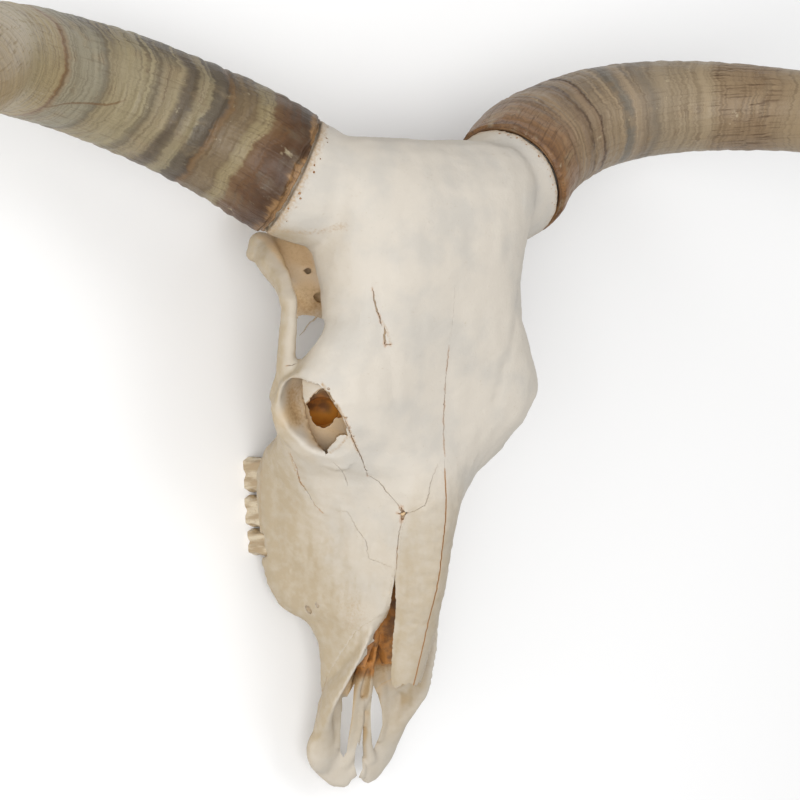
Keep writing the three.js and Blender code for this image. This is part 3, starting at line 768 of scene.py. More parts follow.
rest_of_bone = whole_bone
bone_pieces = {}
for side, sign, seed in (("left", 1, 11), ("right", -1, 12)):
    edge = wavering(NASAL_EDGE, 0.35, seed)
    outline = [(sign * x, y) for x, y in edge] + [(sign * nasal_gap(y), y) for y in NASAL_MIDDLE]
    around = [(sign * (x + HAIRLINE), y) for x, y in edge] + [(-sign * PAST_MIDDLE, y) for y in NASAL_MIDDLE]
    bone_pieces["nasal_bone_" + side] = combined(
        whole_bone, upright_block(outline, NASAL_UNDER, NASAL_OVER), "INTERSECT")
    rest_of_bone = combined(rest_of_bone, upright_block(around, NASAL_UNDER, NASAL_OVER), "DIFFERENCE")
front_edge = wavering(FRONT_SUTURE, 0.3, 13) + AROUND_FRONT
grown_edge = [(y + HAIRLINE, z - HAIRLINE) for y, z in front_edge]
for side, sign in SIDES:
    bone_pieces["premaxilla_" + side] = combined(
        rest_of_bone, side_block(front_edge, sign * FRONT_CLEFT, sign * HALF_HEAD), "INTERSECT")
for side, sign in SIDES:
    rest_of_bone = combined(
        rest_of_bone, side_block(grown_edge, -sign * PAST_MIDDLE, sign * HALF_HEAD), "DIFFERENCE")
bone_pieces["cranium"] = rest_of_bone


# Bone's colour: each point has the share of its sky that other bone hides, which paints tan and shade into
# the hollows, stain with some painted shade, dirt, and a tan tint that is partly painted shade.
def effect_group(name, inputs, outputs):
    """A shader node group with named inputs and outputs, given as name and kind of value."""
    tree = bpy.data.node_groups.new(name, "ShaderNodeTree")
    for label, kind in inputs:
        tree.interface.new_socket(label, in_out="INPUT", socket_type="NodeSocket" + kind)
    for label, kind in outputs:
        tree.interface.new_socket(label, in_out="OUTPUT", socket_type="NodeSocket" + kind)
    return tree, tree.nodes.new("NodeGroupInput").outputs, tree.nodes.new("NodeGroupOutput").inputs


def put(tree, kind, inputs, **settings):
    """A new node: its inputs are set, or linked where the given value is another node's output."""
    made = tree.nodes.new(kind)
    for setting, value in settings.items():
        setattr(made, setting, value)
    for key, value in inputs.items():
        if isinstance(value, bpy.types.NodeSocket):
            tree.links.new(value, made.inputs[key])
        else:
            made.inputs[key].default_value = value
    return made


def noise(tree, place, scale, detail=3, roughness=0.55):
    return put(tree, "ShaderNodeTexNoise", {"Vector": place, "Scale": scale, "Detail": detail,
                                            "Roughness": roughness}).outputs[0]


def stretch(tree, value, start, end, low=0.0, high=1.0):
    return put(tree, "ShaderNodeMapRange", {0: value, 1: start, 2: end, 3: low, 4: high},
               interpolation_type="SMOOTHSTEP").outputs[0]


def sums(tree, operation, first, second):
    return put(tree, "ShaderNodeMath", {0: first, 1: second}, operation=operation).outputs[0]


def mixed(tree, share, first, second, blend="MIX"):
    return put(tree, "ShaderNodeMix", {0: share, 6: first, 7: second},
               data_type="RGBA", blend_type=blend).outputs[2]


def set_surface(tree, colour, roughness, height, strength, distance, specular):
    """Gives the material's shader its colour, roughness and relief."""
    principled = tree.nodes["Principled BSDF"]
    bumped = put(tree, "ShaderNodeBump", {"Strength": strength, "Distance": distance, "Height": height})
    for value, label in ((colour, "Base Color"), (roughness, "Roughness"), (bumped.outputs[0], "Normal")):
        tree.links.new(value, principled.inputs[label])
    principled.inputs["Specular IOR Level"].default_value = specular


PALE_BONE = (0.56, 0.513, 0.445, 1)
GREY_BONE = (0.505, 0.472, 0.42, 1)
# the bone's own tan, also used as painted shade on the sides and the low parts
TAN_AND_SHADED_BONE = (0.40, 0.322, 0.215, 1)
# colour of hollows that other bone hides from the sky: partly the bone's own tan, partly painted shade
HOLLOW_TAN_AND_SHADE = (0.62, 0.43, 0.22, 1)
LIGHT_STAIN_AND_SHADE = (0.37, 0.235, 0.11, 1)
STAIN_ORANGE = (0.52, 0.225, 0.055, 1)
STAIN_BROWN = (0.25, 0.12, 0.045, 1)
SINUS_ORANGE = (0.85, 0.40, 0.06, 1)
CRACK_DIRT = (0.37, 0.185, 0.07, 1)

bone_skin, given, made = effect_group(
    "weathered bone with painted shade",
    [("Place", "Vector"), ("Hidden", "Float"), ("Stain and shade", "Float"), ("Dirt", "Float"), ("Tan and shade", "Float")],
    [("Color", "Color"), ("Roughness", "Float"), ("Height", "Float")])
broad = noise(bone_skin, given["Place"], 26, 4)
middling = noise(bone_skin, given["Place"], 110, 4)
fine = noise(bone_skin, given["Place"], 520, 3)
grain = noise(bone_skin, given["Place"], 1700, 2)
colour = mixed(bone_skin, stretch(bone_skin, broad, 0.42, 0.66), PALE_BONE, GREY_BONE)
# the tan tint is partly painted shade: faces turned away from the light and the low parts get more of it
tan_and_shade = sums(bone_skin, "MULTIPLY", given["Tan and shade"], stretch(bone_skin, middling, 0.25, 0.7, 0.72, 1.06))
colour = mixed(bone_skin, tan_and_shade, colour, TAN_AND_SHADED_BONE)
# painted shade and tan in the hollows, as much as other bone hides their sky
colour = mixed(bone_skin, sums(bone_skin, "MULTIPLY", given["Hidden"], 0.9), colour, HOLLOW_TAN_AND_SHADE)
specks = sums(bone_skin, "MULTIPLY", stretch(bone_skin, fine, 0.60, 0.74),
              stretch(bone_skin, middling, 0.45, 0.65, 0.0, 0.35))
colour = mixed(bone_skin, specks, colour, TAN_AND_SHADED_BONE)
# stain and painted shade: low values, from the hollows and the shaded edges, are light brown; high ones
# orange and brown
stain_and_shade_colour = mixed(bone_skin, stretch(bone_skin, middling, 0.4, 0.62), STAIN_ORANGE, STAIN_BROWN)
stain_and_shade_colour = mixed(bone_skin, stretch(bone_skin, given["Stain and shade"], 0.45, 0.8), LIGHT_STAIN_AND_SHADE, stain_and_shade_colour)
stain_and_shade_colour = mixed(bone_skin, stretch(bone_skin, given["Stain and shade"], 1.0, 1.22), stain_and_shade_colour, SINUS_ORANGE)
stain_and_shade_edge = sums(bone_skin, "SUBTRACT", given["Stain and shade"], sums(bone_skin, "MULTIPLY", fine, 0.6))
colour = mixed(bone_skin, stretch(bone_skin, stain_and_shade_edge, -0.12, 0.4), colour, stain_and_shade_colour)
dirt_edge = sums(bone_skin, "SUBTRACT", given["Dirt"], sums(bone_skin, "MULTIPLY", fine, 0.45))
colour = mixed(bone_skin, stretch(bone_skin, dirt_edge, 0.0, 0.5), colour, CRACK_DIRT)
height = sums(bone_skin, "ADD", sums(bone_skin, "MULTIPLY", fine, 0.6),
              sums(bone_skin, "MULTIPLY", grain, 0.3))
for output, value in (("Color", colour), ("Roughness", stretch(bone_skin, fine, 0.2, 0.8, 0.5, 0.68)),
                      ("Height", sums(bone_skin, "ADD", height, middling))):
    bone_skin.links.new(value, made[output])

bone.use_nodes = True
tree = bone.node_tree
age_and_shade = put(tree, "ShaderNodeAttribute", {}, attribute_name="age_and_shade")
parts_of_age_and_shade = put(tree, "ShaderNodeSeparateColor", {0: age_and_shade.outputs["Color"]}).outputs
place = put(tree, "ShaderNodeTexCoord", {}).outputs["Object"]
skin = put(tree, "ShaderNodeGroup", {}, node_tree=bone_skin)
for label, value in (("Place", place), ("Hidden", parts_of_age_and_shade[0]), ("Stain and shade", parts_of_age_and_shade[1]),
                     ("Dirt", parts_of_age_and_shade[2]), ("Tan and shade", age_and_shade.outputs["Alpha"])):
    tree.links.new(value, skin.inputs[label])
set_surface(tree, skin.outputs["Color"], skin.outputs["Roughness"], skin.outputs["Height"],
            strength=0.35, distance=0.0006, specular=0.35)

# stained edges and edges of painted shade, traced in the picture: how strong, how wide in mm, and along
# which line
STAINED_AND_SHADED_EDGES = [
    (0.5, 1.8, [(322, 384), (331, 396), (338, 407), (345, 419)]),
    (0.42, 2.2, [(345, 419), (351, 435), (358, 452)]),
    # painted shade, with some stain, along the inner edge of the nose's slot
    (0.45, 1.8, [(388, 611), (376, 631), (367, 648)]),
    (0.4, 2, [(330, 452), (338, 448), (348, 436)]),
    (0.36, 2, [(382, 322), (387, 330), (391, 345)]),
    (0.35, 4, [(262, 460), (260, 500), (262, 550)]),
    # brown low on the temple's wall: partly stain, partly painted shade
    (0.5, 17, [(300, 304), (308, 308), (319, 303)]),
    # painted shade in the eye socket's dark crescent
    (0.5, 12, [(292, 393), (293.5, 408), (296, 416)]),
    # painted shade in the two small nerve pits
    (0.4, 3, [(308, 608), (311, 610)]),
    (0.35, 2, [(317, 604), (318.5, 605.5)]),
    (0.34, 5, [(283, 231), (300, 233), (322, 231), (345, 226)]),
    (0.4, 2.5, [(289.4, 452.5), (299.8, 481.6), (306, 490)])]
stained_and_shaded_lines = [(strength, width, traced_line(followed(line, 3, 0, crack_draw)))
                 for strength, width, line in STAINED_AND_SHADED_EDGES]

# hollows of the bone that are painted tan and shaded all over, each with its radius in mm, and soft limits
# of the places that are stained or get more of the tan tint than the rest
SHADED_TAN_HOLLOWS = (((66, 26, -102), 17), ((82, -56, -88), 13), ((98, -62, -71), 12), ((80, -84, -68), 12))
NOSE_INSIDE = ((BACK, -100, -190), (SIDE, 34, 26), (UP, -50, -75), (BACK, -290, -258))
NOSE_ROLLS = ((SIDE, 24, 20), (UP, -84, -92), (UP, -131, -124), (BACK, -285, -270), (BACK, -120, -150))
NASAL_SEAM = ((BACK, -100, -108), (UP, -78, -72))
NASAL_TOP = ((BACK, -95, -150), (SIDE, 27, 21), (UP, -84, -76))
ARCH_SIDE = ((SIDE, 94, 106), (BACK, 80, 70), (UP, -35, -50))

# rays from each point find the share of its sky that other bone hides: how many there are, how far they
# reach and how far off the point they start, both in metres, and how strongly they lean to its normal
SKY_RAYS = 14
SKY_REACH = 0.06
SKY_START = 0.0018
SKY_LEAN = 1.15
sky_tree = ray_tree(thinned(whole_bone, 70000))
sky_directions = np.random.default_rng(77).normal(size=(SKY_RAYS, 3))
sky_directions /= np.linalg.norm(sky_directions, axis=1, keepdims=True)


def hidden_sky(mesh):
    hidden = []
    for spot, normal in zip(points_of(mesh), normals_of(mesh)):
        start = Vector(spot + SKY_START * normal)
        toward = sky_directions + SKY_LEAN * normal
        hidden.append(sum(sky_tree.ray_cast(start, Vector(ray), SKY_REACH)[0] is not None for ray in toward))
    return spread_out(np.array(hidden, float)[:, None] / SKY_RAYS, edges_of(mesh), 3)[:, 0]


def stain_and_shade_of(where, closed, at_rim):
    """Brown stain with painted shade: lightly in every hollow that other bone hides from the sky, strongly
    in the nose and the sinus, at the horns' rims, and along the stained and shaded edges.
    """
    sinus = near_spot(where, [-50, -67, -104], [22, 20, 20], 4)
    # a light brown in every hollow that other bone hides from the sky is painted shade
    stain_and_shade = closed * np.clip(0.25 + 1.1 * sinus + 0.72 * within(where, *NOSE_INSIDE), 0, 1.3)
    stain_and_shade = np.maximum(stain_and_shade, 0.44 * at_rim)
    stain_and_shade = np.maximum(stain_and_shade, 0.75 * within(where, *NOSE_ROLLS))
    stain_and_shade = np.maximum(stain_and_shade, 0.34 * near_spot(where, [-36, -212, -88], [14, 34, 26]))
    for strength, width, line in stained_and_shaded_lines:
        stain_and_shade = np.maximum(stain_and_shade, strength * np.exp(-(line_distance(where, line) / width) ** 2))
    return stain_and_shade


def dirt_of(spots, where, at_rim):
    """Dirt below the old surface: in the cracks, in the pits and in the seam of the nasal bones."""
    dirt = np.zeros(len(spots))
    for half_width, line in crack_lines:
        share = min(1, 0.2 + 2.2 * half_width) * (0.85 + 0.3 * np.clip(ripple(where, 12, 8), -1, 0.5))
        width = 1.0 + 1.2 * half_width
        dirt = np.maximum(dirt, share * np.exp(-(line_distance(where, line) / width) ** 2))
    for i in np.flatnonzero(dirt > 0.15):
        below = surface.find_nearest(spots[i])[3] / MM
        dirt[i] *= 0.5 + 0.5 * float(ease(below, 0.1, 0.5))
    crumbled = ease(line_distance(where, crumbled_line), 5, 3)
    for i in np.flatnonzero((at_rim > 0.05) | (crumbled > 0.1)):
        below = surface.find_nearest(spots[i])[3] / MM
        dirt[i] = max(dirt[i], (0.65 if at_rim[i] > 0.05 else 0.4) * float(ease(below, 0.15, 0.6)))
    return np.maximum(dirt, 0.8 * within(where, *NASAL_SEAM) * np.exp(-(where[:, 0] / 0.8) ** 2))


def tan_and_shade_of(where, normals):
    """Tan tint, partly painted shade: on faces that don't look up, low on the skull, towards the muzzle and
    on the arches. The muzzle's tip keeps less of it, as a painted highlight.
    """
    facing = normals @ skull_to_row[:3, 2]
    tan_and_shade = ease(facing, 0.75, 0.0) * (0.35 + 0.45 * within(where, (UP, -30, -110)))
    tan_and_shade += 0.35 * within(where, (UP, -85, -130)) + 0.32 * within(where, (BACK, -90, -210))
    tan_and_shade = np.clip(tan_and_shade, 0, 1) + 0.45 * within(where, *NASAL_TOP) + 0.5 * within(where, *ARCH_SIDE)
    # less tan at the muzzle's tip: a painted highlight
    return np.clip(tan_and_shade * (1 - 0.5 * within(where, (BACK, -318, -345))), 0, 1)


def paint_age_and_shade(mesh):
    """Gives the mesh its point colours: hidden sky, which paints tan and shade into hollows, stain with
    painted shade, dirt, and the tan tint with its painted shade.
    """
    spots = points_of(mesh)
    where = in_skull(spots)
    # closed: the hidden sky and the listed hollows, where tan and painted shade go
    closed = ease(hidden_sky(mesh), 0.25, 0.95)
    for middle, radius in SHADED_TAN_HOLLOWS:
        closed = np.maximum(closed, 1.05 * near_spot(on_left(where), middle, radius, 4))
    at_rim = np.exp(-((past_rim(where) + 3) / 6) ** 2)
    at_rim *= ease(np.linalg.norm(on_left(where) - curve[rim_at], axis=1), 60, 55)
    values = np.stack([0.85 * closed, stain_and_shade_of(where, closed, at_rim), dirt_of(spots, where, at_rim),
                       tan_and_shade_of(where, normals_of(mesh))], axis=1)
    layer = mesh.color_attributes.new("age_and_shade", "FLOAT_COLOR", "POINT")
    layer.data.foreach_set("color", values.astype(np.float32).ravel())


def as_piece(name, mesh, node, material):
    piece = bpy.data.objects.new(name, mesh)
    bpy.context.scene.collection.objects.link(piece)
    mesh.materials.clear()
    mesh.materials.append(material)
    mesh.polygons.foreach_set("use_smooth", [True] * len(mesh.polygons))
    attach(piece, "root")
    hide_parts(node)


# how many triangles each bone is thinned to; its points this near to a crack, or to a stained or shaded
# edge, in mm, all stay
FACES = {"cranium": 182000, "nasal_bone": 26000, "premaxilla": 30000}
KEPT_NEAR = 3.2
SHARP_DEGREES = 50
fine_lines = [line for _, line in crack_lines] + [line for _, _, line in stained_and_shaded_lines]
for node, mesh in bone_pieces.items():
    limit = next(count for start, count in FACES.items() if node.startswith(start))
    where = in_skull(points_of(mesh))
    nearest = np.min([line_distance(where, line) for line in fine_lines], axis=0)
    mesh = thinned(mesh, limit, np.flatnonzero(nearest < KEPT_NEAR))
    paint_age_and_shade(mesh)
    as_piece(node + "_bone", mesh, node, bone)
    mesh.set_sharp_from_angle(angle=math.radians(SHARP_DEGREES))

# Molars: three worn back teeth on each side. Their crowns touch near the chewing end, and narrow
# gaps stay open between them above it. Tan cement fills the upright folds of the pale enamel.
CEMENT = (0.37, 0.27, 0.155, 1)
ENAMEL = (0.56, 0.47, 0.33, 1)
TOOTH_SPOTS = (0.36, 0.25, 0.14, 1)
TOOTH_PITCH = 0.0006
TOOTH_FACES = 8000
HALF_CROWN = 0.009

tooth_skin, given, made = effect_group("worn tooth", [("Place", "Vector")],
                                       [("Color", "Color"), ("Roughness", "Float"), ("Height", "Float")])
upright = put(tooth_skin, "ShaderNodeVectorMath", {0: given["Place"], 1: (1, 1, 0.12)}, operation="MULTIPLY")
folds = noise(tooth_skin, upright.outputs[0], 210, 3)
spotted = stretch(tooth_skin, noise(tooth_skin, given["Place"], 300, 3), 0.55, 0.75, 0.0, 0.6)
colour = mixed(tooth_skin, stretch(tooth_skin, folds, 0.38, 0.6), CEMENT, ENAMEL)
for output, value in (("Color", mixed(tooth_skin, spotted, colour, TOOTH_SPOTS)),
                      ("Roughness", stretch(tooth_skin, folds, 0.3, 0.7, 0.5, 0.36)), ("Height", folds)):
    tooth_skin.links.new(value, made[output])

tooth_enamel = bpy.data.materials.new("tooth_enamel")
tooth_enamel.use_nodes = True
tree = tooth_enamel.node_tree
skin = put(tree, "ShaderNodeGroup", {}, node_tree=tooth_skin)
tree.links.new(put(tree, "ShaderNodeTexCoord", {}).outputs["Object"], skin.inputs["Place"])
set_surface(tree, skin.outputs["Color"], skin.outputs["Roughness"], skin.outputs["Height"],
            strength=0.4, distance=0.0005, specular=0.5)

for side, _ in SIDES:
    for number in (1, 2, 3):
        node = f"molar_{number}_{side}"
        crown = even_skin(node_copies(node, [(0, 0, 0)])[0], TOOTH_PITCH)
        worn_round(crown, 4)
        points = points_of(crown)
        high = points[:, 2] / MM
        # both ends of the crown are 0.5 mm further out at the chewing face, and 0.6 mm further in above it
        swell = 0.5 * ease(high, 8, 5) - 0.6 * ease(high, 6, 9) * ease(high, 18, 14)
        middle = 0.5 * (points[:, 1].min() + points[:, 1].max())
        points[:, 1] += swell * MM * np.clip((points[:, 1] - middle) / HALF_CROWN, -1, 1)
        put_points(crown, points)
        as_piece(node + "_tooth", thinned(crown, TOOTH_FACES), node, tooth_enamel)

# Horn sheaths: hollow keratin horns pushed on the bony cores. They grow in rings, which stand out as
# low ridges and grey, brown and cream bands, and their rims are dark, fibrous and ragged. The core
# reaches so far into each, in mm, with this radius at the rim and this play all round.
CORE_REACH = 350
CORE_RADIUS = 42.5
CORE_PLAY = 1.0
# the noise of the outside and of the socket is looked up on round bars of these radii, in mm
NOISE_RADIUS = 45
SOCKET_NOISE_RADIUS = 30
ROUND = 120
OUTER_STATIONS = np.concatenate([
    np.arange(0, 10, 0.5), np.arange(10, 210, 0.9), np.arange(210, horn_length - 4, 2.2),
    horn_length - np.array([4, 3, 2.2, 1.5, 0.9, 0.4, 0.1])])
INNER_STATIONS = np.concatenate([[1.5, 4, 8], np.linspace(12, CORE_REACH - 10, 24), [CORE_REACH]])


def growth_rings(s, draw):
    """Relief of the rings of growth at s mm from the rim: each has its own place and strength."""
    relief = np.zeros(s.shape)
    place = 9.0
    while place < horn_length - 120:
        strength = draw.uniform(0.15, 0.75) * (1 - place / (horn_length - 60))
        width = draw.uniform(2.5, 5.5)
        relief += strength * np.exp(-((s - place) / width) ** 2)
        relief -= 0.6 * strength * np.exp(-((s - place - 1.6 * width) / 1.4) ** 2)
        place += draw.uniform(6, 15)
    return relief


def plain_sheath(s):
    """Radius of the sheath before its rings: a slow taper to a blunt tip."""
    rest = np.clip(1 - s / (horn_length + 6), 0, 1)
    blunt = np.clip((horn_length - s) / 9, 0, 1)
    return RIM_RADIUS * np.sqrt(rest) * (0.9 + 0.1 * rest) * np.sqrt(np.clip(1 - (1 - blunt) ** 2, 0, 1))


def horn_mesh(side, seed, ring_crack, back_swell):
    """A sheath as one closed skin, from the end of its socket round the rim to the tip. Its attribute
    gives the place on it: mm from the rim, and from the middle line to the back and to the top."""
    s, angle = np.meshgrid(OUTER_STATIONS, full_turn(ROUND), indexing="ij")
    around = np.stack([s, NOISE_RADIUS * np.cos(angle), NOISE_RADIUS * np.sin(angle)], -1).reshape(-1, 3)

    def waves(stretched, size, number):
        return ripple(around * stretched, size, seed + number).reshape(s.shape)

    radius = plain_sheath(s)
    wander = 3.0 * waves([0.15, 1, 1], 70, 1)
    rough = 0.35 * waves([1, 0.6, 0.6], 14, 2) + 0.22 * waves([0.25, 2.2, 2.2], 9, 3)
    crack = np.exp(-(s + wander - ring_crack) ** 2)
    radius += back_swell * ease(np.cos(angle), 0, 1) * np.exp(-((s - 38) / 38) ** 2)
    radius += growth_rings(s + wander, np.random.default_rng(seed)) + rough * (0.5 + 0.9 * np.exp(-s / 160))
    radius -= 0.9 * crack * ease(np.sin(angle + 1.3), -0.6, 0.2)
    # the rim: an inner layer shows as a narrow lip before the ragged edge of the outer layer
    ragged = 3.0 + 0.8 * waves([0, 1, 1], 26, 4) + 0.5 * waves([0, 1, 1], 6, 5)
    radius -= 2.1 * (1 - ease(s, ragged - 0.5, ragged + 0.4))
    radius -= 0.9 * np.exp(-((s - ragged + 0.6) / 0.7) ** 2)
    chipped = np.minimum(0, 0.7 * waves([0, 1, 1], 9, 6)) * np.exp(-s / 4)
    outer = horn_spots(s - chipped, radius, angle)

    s_in, angle_in = np.meshgrid(INNER_STATIONS, full_turn(ROUND), indexing="ij")
    narrowing = (1 - s_in / (CORE_REACH + 8)) ** 0.55
    inner = horn_spots(s_in, CORE_RADIUS * narrowing + CORE_PLAY, angle_in)
    grid = np.concatenate([inner[::-1], outer]) * [1 if side == "left" else -1, 1, 1]
    circle_in = np.stack([0 * s_in, np.cos(angle_in), np.sin(angle_in)], -1)
    in_socket = SOCKET_NOISE_RADIUS * circle_in
    on_sheath = np.stack([s, radius * np.cos(angle), radius * np.sin(angle)], -1)
    grown = np.concatenate([in_socket[::-1].reshape(-1, 3), on_sheath.reshape(-1, 3),
                            [[0, 0, 0], [horn_length, 0, 0]]])
    points = from_skull(np.concatenate([grid.reshape(-1, 3), [grid[0].mean(0), grid[-1].mean(0)]]))
    socket_end, tip_end = len(points) - 2, len(points) - 1
    last = (len(grid) - 1) * ROUND
    faces = wall_faces(len(grid), ROUND)
    for j in range(ROUND):
        k = (j + 1) % ROUND
        faces += [(socket_end, k, j), (tip_end, last + j, last + k)]
    mesh = mesh_of(points, faces)
    flow = mesh.attributes.new("grown", "FLOAT_VECTOR", "POINT")
    flow.data.foreach_set("vector", grown.astype(np.float32).ravel())
    return mesh


def shade_of(red, green, blue):
    """A colour as a paint chart gives it, 0 to 255, made linear."""
    return tuple(((c / 255 + 0.055) / 1.055) ** 2.4 for c in (red, green, blue)) + (1,)


def along_and_round(tree, grown, along, across, seed, detail=4):
    """Noise in the sheath's own directions: how fast it changes along it, and across it, per mm."""
    scaled = put(tree, "ShaderNodeVectorMath", {0: grown, 1: (along, across, across)}, operation="MULTIPLY")
    settings = {"Vector": scaled.outputs[0], "W": seed, "Scale": 1, "Detail": detail, "Roughness": 0.6}
    return put(tree, "ShaderNodeTexNoise", settings, noise_dimensions="4D").outputs[0]


keratin, given, made = effect_group(
    "grown keratin", [("Grown", "Vector"), ("Seed", "Float")],
    [("Length", "Float"), ("Band", "Float"), ("Rings", "Float"), ("Fibres", "Float"), ("Blotches", "Float"),
     ("Flakes", "Float"), ("Back", "Float"), ("Height", "Float")])
grown, seed_value = given["Grown"], given["Seed"]
axes = put(keratin, "ShaderNodeSeparateXYZ", {0: grown}).outputs
wander_noise = along_and_round(keratin, grown, 0.004, 0.022, seed_value, 1)
scallop_noise = along_and_round(keratin, grown, 0.05, 0.30, seed_value, 3)
wander = stretch(keratin, wander_noise, 0.25, 0.75, -7, 7)
scallops = stretch(keratin, scallop_noise, 0.25, 0.75, -1.9, 1.9)
warped = sums(keratin, "ADD", axes[0], sums(keratin, "ADD", wander, scallops))
ring_place = put(keratin, "ShaderNodeCombineXYZ", {0: warped, 1: axes[1], 2: axes[2]}).outputs[0]
ring_noise = along_and_round(keratin, ring_place, 0.30, 0.012, seed_value, 5)
fibre_noise = along_and_round(keratin, grown, 0.022, 0.62, seed_value, 5)
blotch_noise = along_and_round(keratin, grown, 0.035, 0.06, seed_value, 5)
flake_noise = along_and_round(keratin, grown, 0.10, 0.14, seed_value, 6)
height = sums(keratin, "ADD", sums(keratin, "MULTIPLY", ring_noise, 0.7),
              sums(keratin, "MULTIPLY", fibre_noise, 0.6))
for output, value in (
        ("Length", axes[0]), ("Band", sums(keratin, "DIVIDE", warped, horn_length)),
        ("Rings", stretch(keratin, ring_noise, 0.42, 0.66)),
        ("Fibres", stretch(keratin, fibre_noise, 0.5, 0.68)),
        ("Blotches", stretch(keratin, blotch_noise, 0.5, 0.68)),
        ("Flakes", stretch(keratin, flake_noise, 0.63, 0.72)),
        ("Back", sums(keratin, "DIVIDE", axes[1], RIM_RADIUS)), ("Height", height)):
    keratin.links.new(value, made[output])

# bands of each sheath: length from the rim in mm, and colour from 0 to 255
RIGHT_BANDS = [
    (0, (158, 124, 84)), (2.2, (140, 104, 66)), (3.0, (64, 42, 24)),
    (9, (86, 56, 26)), (20, (102, 71, 41)), (31, (118, 92, 64)),
    (34, (168, 156, 124)), (44, (150, 138, 108)), (50, (124, 108, 84)), (64, (132, 116, 92)),
    (71, (120, 92, 58)), (74, (90, 80, 68)), (86, (104, 96, 82)), (89, (166, 158, 132)),
    (98, (150, 140, 116)), (103, (98, 88, 74)), (112, (108, 98, 84)), (115, (160, 150, 124)),
    (130, (156, 146, 122)), (137, (122, 114, 98)),
    (143, (166, 158, 132)), (184, (166, 156, 130)), (190, (126, 120, 106)), (196, (160, 157, 142)),
    (236, (170, 165, 148)), (246, (152, 122, 90)), (252, (182, 168, 136)), (330, (192, 180, 150)),
    (480, (184, 166, 132)), (600, (150, 126, 94)), (650, (96, 80, 62)), (707, (58, 50, 44))]
LEFT_BANDS = [
    (0, (150, 114, 74)), (2.4, (128, 92, 56)), (3.4, (66, 44, 26)), (6, (136, 100, 62)),
    (14, (148, 113, 74)), (26, (150, 120, 88)), (44, (134, 112, 88)), (60, (156, 138, 112)),
    (78, (138, 120, 98)), (86, (92, 74, 56)), (90, (158, 142, 118)), (102, (140, 122, 100)),
    (105, (84, 64, 44)), (109, (150, 136, 114)), (138, (160, 146, 122)), (144, (122, 120, 112)),
    (152, (134, 129, 118)),
    (158, (166, 152, 130)), (182, (130, 122, 108)), (192, (156, 145, 124)), (246, (164, 151, 126)),
    (254, (150, 133, 107)), (300, (142, 123, 97)), (326, (156, 141, 115)), (420, (172, 156, 126)),
    (600, (142, 120, 90)), (655, (86, 72, 58)), (707, (56, 48, 42))]

# the long thin crack of the right sheath: mm from the rim, and degrees round the horn from its back
LONG_CRACK = [(154, 106), (163, 115), (178, 123), (190, 126), (204, 130), (226, 140), (237, 149), (248, 159),
              (264, 178), (280, 190)]
# the angle that stands for 1 in the curve that holds the crack's path
CURVE_DEGREES = 200


def crack_along(tree, grown, height):
    """A thin line along the sheath: its place round the horn is a curve of the length from the rim."""
    axes = put(tree, "ShaderNodeSeparateXYZ", {0: grown}).outputs
    turn = sums(tree, "DIVIDE", sums(tree, "ARCTAN2", axes[2], axes[1]), math.pi)
    start, end = LONG_CRACK[0][0], LONG_CRACK[-1][0]
    share = put(tree, "ShaderNodeMapRange", {0: axes[0], 1: start, 2: end}).outputs[0]
    path = put(tree, "ShaderNodeFloatCurve", {"Value": share})
    points = path.mapping.curves[0].points
    for index, (length, angle) in enumerate(LONG_CRACK):
        spot = ((length - start) / (end - start), angle / CURVE_DEGREES)
        if index in (0, len(LONG_CRACK) - 1):
            points[0 if index == 0 else -1].location = spot
        else:
            points.new(*spot)
    path.mapping.update()
    wander = sums(tree, "MULTIPLY", sums(tree, "SUBTRACT", height, 0.6), 0.02)
    off = sums(tree, "SUBTRACT", turn, sums(tree, "MULTIPLY", path.outputs[0], CURVE_DEGREES / 180))
    off = sums(tree, "ABSOLUTE", sums(tree, "ADD", off, wander), 0)
    ends = sums(tree, "MULTIPLY", stretch(tree, axes[0], start, start + 12),
                stretch(tree, axes[0], end - 12, end, 1, 0))
    return sums(tree, "MULTIPLY", stretch(tree, off, 0.003, 0.011, 1, 0), ends)


RING_SHADE = (0.50, 0.45, 0.38, 1)
MOTTLE = shade_of(92, 78, 64)
PALE_PATCH = shade_of(168, 152, 124)
FIBRE_BROWN = shade_of(74, 50, 30)
BACK_SHADE = shade_of(78, 70, 62)
FLAKE = shade_of(206, 198, 172)
CRACK_BROWN = shade_of(104, 72, 40)


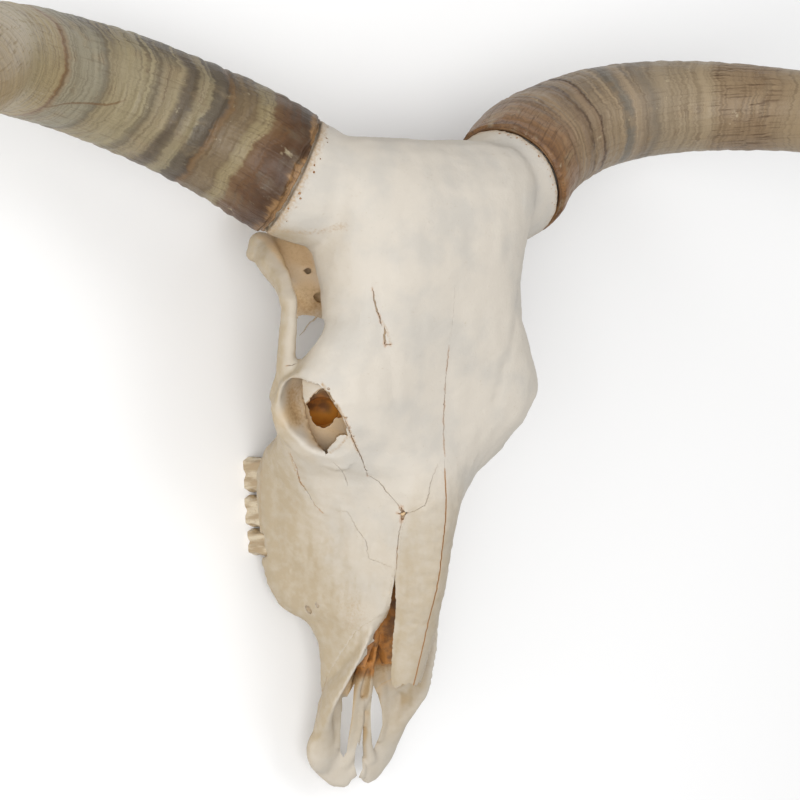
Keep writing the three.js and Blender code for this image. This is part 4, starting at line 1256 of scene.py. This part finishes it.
def horn_material(name, seed, bands, tint, back_dark, fibre_zone, fibre_share, rim_patches, long_crack):
    """Keratin of one sheath: its bands, then rings, mottles, pale patches, fibres, a darker back, flakes
    and its own tint. Fibres show most in the zone, given in mm from the rim."""
    material = bpy.data.materials.new(name)
    material.use_nodes = True
    tree = material.node_tree
    flow = put(tree, "ShaderNodeAttribute", {}, attribute_name="grown").outputs["Vector"]
    skin = put(tree, "ShaderNodeGroup", {}, node_tree=keratin)
    tree.links.new(flow, skin.inputs["Grown"])
    skin.inputs["Seed"].default_value = seed
    out = skin.outputs

    def times(first, second):
        return sums(tree, "MULTIPLY", first, second)

    def by_length(start, end, low, high):
        return stretch(tree, out["Length"], start, end, low, high)

    ramp = put(tree, "ShaderNodeValToRGB", {0: out["Band"]})
    stops = ramp.color_ramp.elements
    for index, (length, colour) in enumerate(bands):
        stop = stops[index] if index < 2 else stops.new(length / horn_length)
        stop.position = length / horn_length
        stop.color = shade_of(*colour)
    colour = mixed(tree, times(out["Rings"], 0.42), ramp.outputs[0], RING_SHADE, "MULTIPLY")
    mottles = times(out["Rings"], stretch(tree, out["Blotches"], 0, 0.8, 0.1, 0.75))
    colour = mixed(tree, mottles, colour, MOTTLE)
    colour = mixed(tree, times(out["Blotches"], by_length(15, 60, rim_patches, 0.4)), colour, PALE_PATCH)
    start, end = fibre_zone
    zone = times(by_length(start - 4, start + 4, 0, 1), by_length(end - 14, end + 16, fibre_share, 0))
    fibres = times(out["Fibres"], sums(tree, "MAXIMUM", zone, by_length(20, 60, 0.75, 0.22)))
    colour = mixed(tree, times(fibres, 0.8), colour, FIBRE_BROWN)
    back = times(stretch(tree, out["Back"], 0.3, 0.75), stretch(tree, out["Rings"], 0.0, 0.9, 0.25, 1))
    colour = mixed(tree, times(back, by_length(205, 235, back_dark, 0)), colour, BACK_SHADE)
    colour = mixed(tree, times(out["Flakes"], 0.5), colour, FLAKE)
    colour = mixed(tree, 1.0, colour, tint, "MULTIPLY")
    if long_crack:
        colour = mixed(tree, times(crack_along(tree, flow, out["Height"]), 0.6), colour, CRACK_BROWN)
    set_surface(tree, colour, stretch(tree, out["Fibres"], 0, 1, 0.42, 0.62), out["Height"],
                strength=0.6, distance=0.0012, specular=0.4)
    return material


left_keratin = horn_material(
    "horn_keratin_left", 14.8, LEFT_BANDS, (0.84, 0.77, 0.70, 1), back_dark=0.25, fibre_zone=(250, 318),
    fibre_share=1.0, rim_patches=0.75, long_crack=False)
right_keratin = horn_material(
    "horn_keratin_right", 22.2, RIGHT_BANDS, (0.76, 0.71, 0.62, 1), back_dark=0.85, fibre_zone=(252, 420),
    fibre_share=0.2, rim_patches=0.1, long_crack=True)
left_sheath = horn_mesh("left", 40, ring_crack=105, back_swell=3.0)
right_sheath = horn_mesh("right", 60, ring_crack=73, back_swell=0.5)
as_piece("horn_sheath_left_horn", left_sheath, "horn_sheath_left", left_keratin)
as_piece("horn_sheath_right_horn", right_sheath, "horn_sheath_right", right_keratin)

# Floor: a plain pale sheet that the skull lies on.
bpy.ops.mesh.primitive_plane_add(size=12, location=(0, 0, 0))
floor = bpy.context.object
floor.name = "floor"
floor_paint = bpy.data.materials.new("floor_paint")
floor_paint.use_nodes = True
floor_paint.node_tree.nodes["Principled BSDF"].inputs["Base Color"].default_value = (0.92, 0.92, 0.92, 1)
floor.data.materials.append(floor_paint)
floor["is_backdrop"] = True

# Light: three soft boxes, each with its place, its size in metres and its power, and a pale room.
SOFTBOXES = [((-1.3, -0.5, 2.2), 1.5, 38), ((1.4, 0.8, 2.6), 2.0, 21), ((-2.1, 0.3, 1.25), 1.4, 15)]
AIMED_AT = Vector((0, 0, 0.1))
for place, size, power in SOFTBOXES:
    lamp_data = bpy.data.lights.new("softbox", "AREA")
    lamp_data.size = size
    lamp_data.energy = power
    lamp = bpy.data.objects.new("softbox", lamp_data)
    lamp.location = place
    lamp.rotation_euler = (AIMED_AT - Vector(place)).to_track_quat("-Z", "Y").to_euler()
    bpy.context.scene.collection.objects.link(lamp)
world = bpy.data.worlds.new("studio")
world.use_nodes = True
world.node_tree.nodes["Background"].inputs["Color"].default_value = (1, 1, 1, 1)
world.node_tree.nodes["Background"].inputs["Strength"].default_value = 0.5
bpy.context.scene.world = world
bpy.context.scene.view_settings.view_transform = "Standard"

low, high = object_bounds()
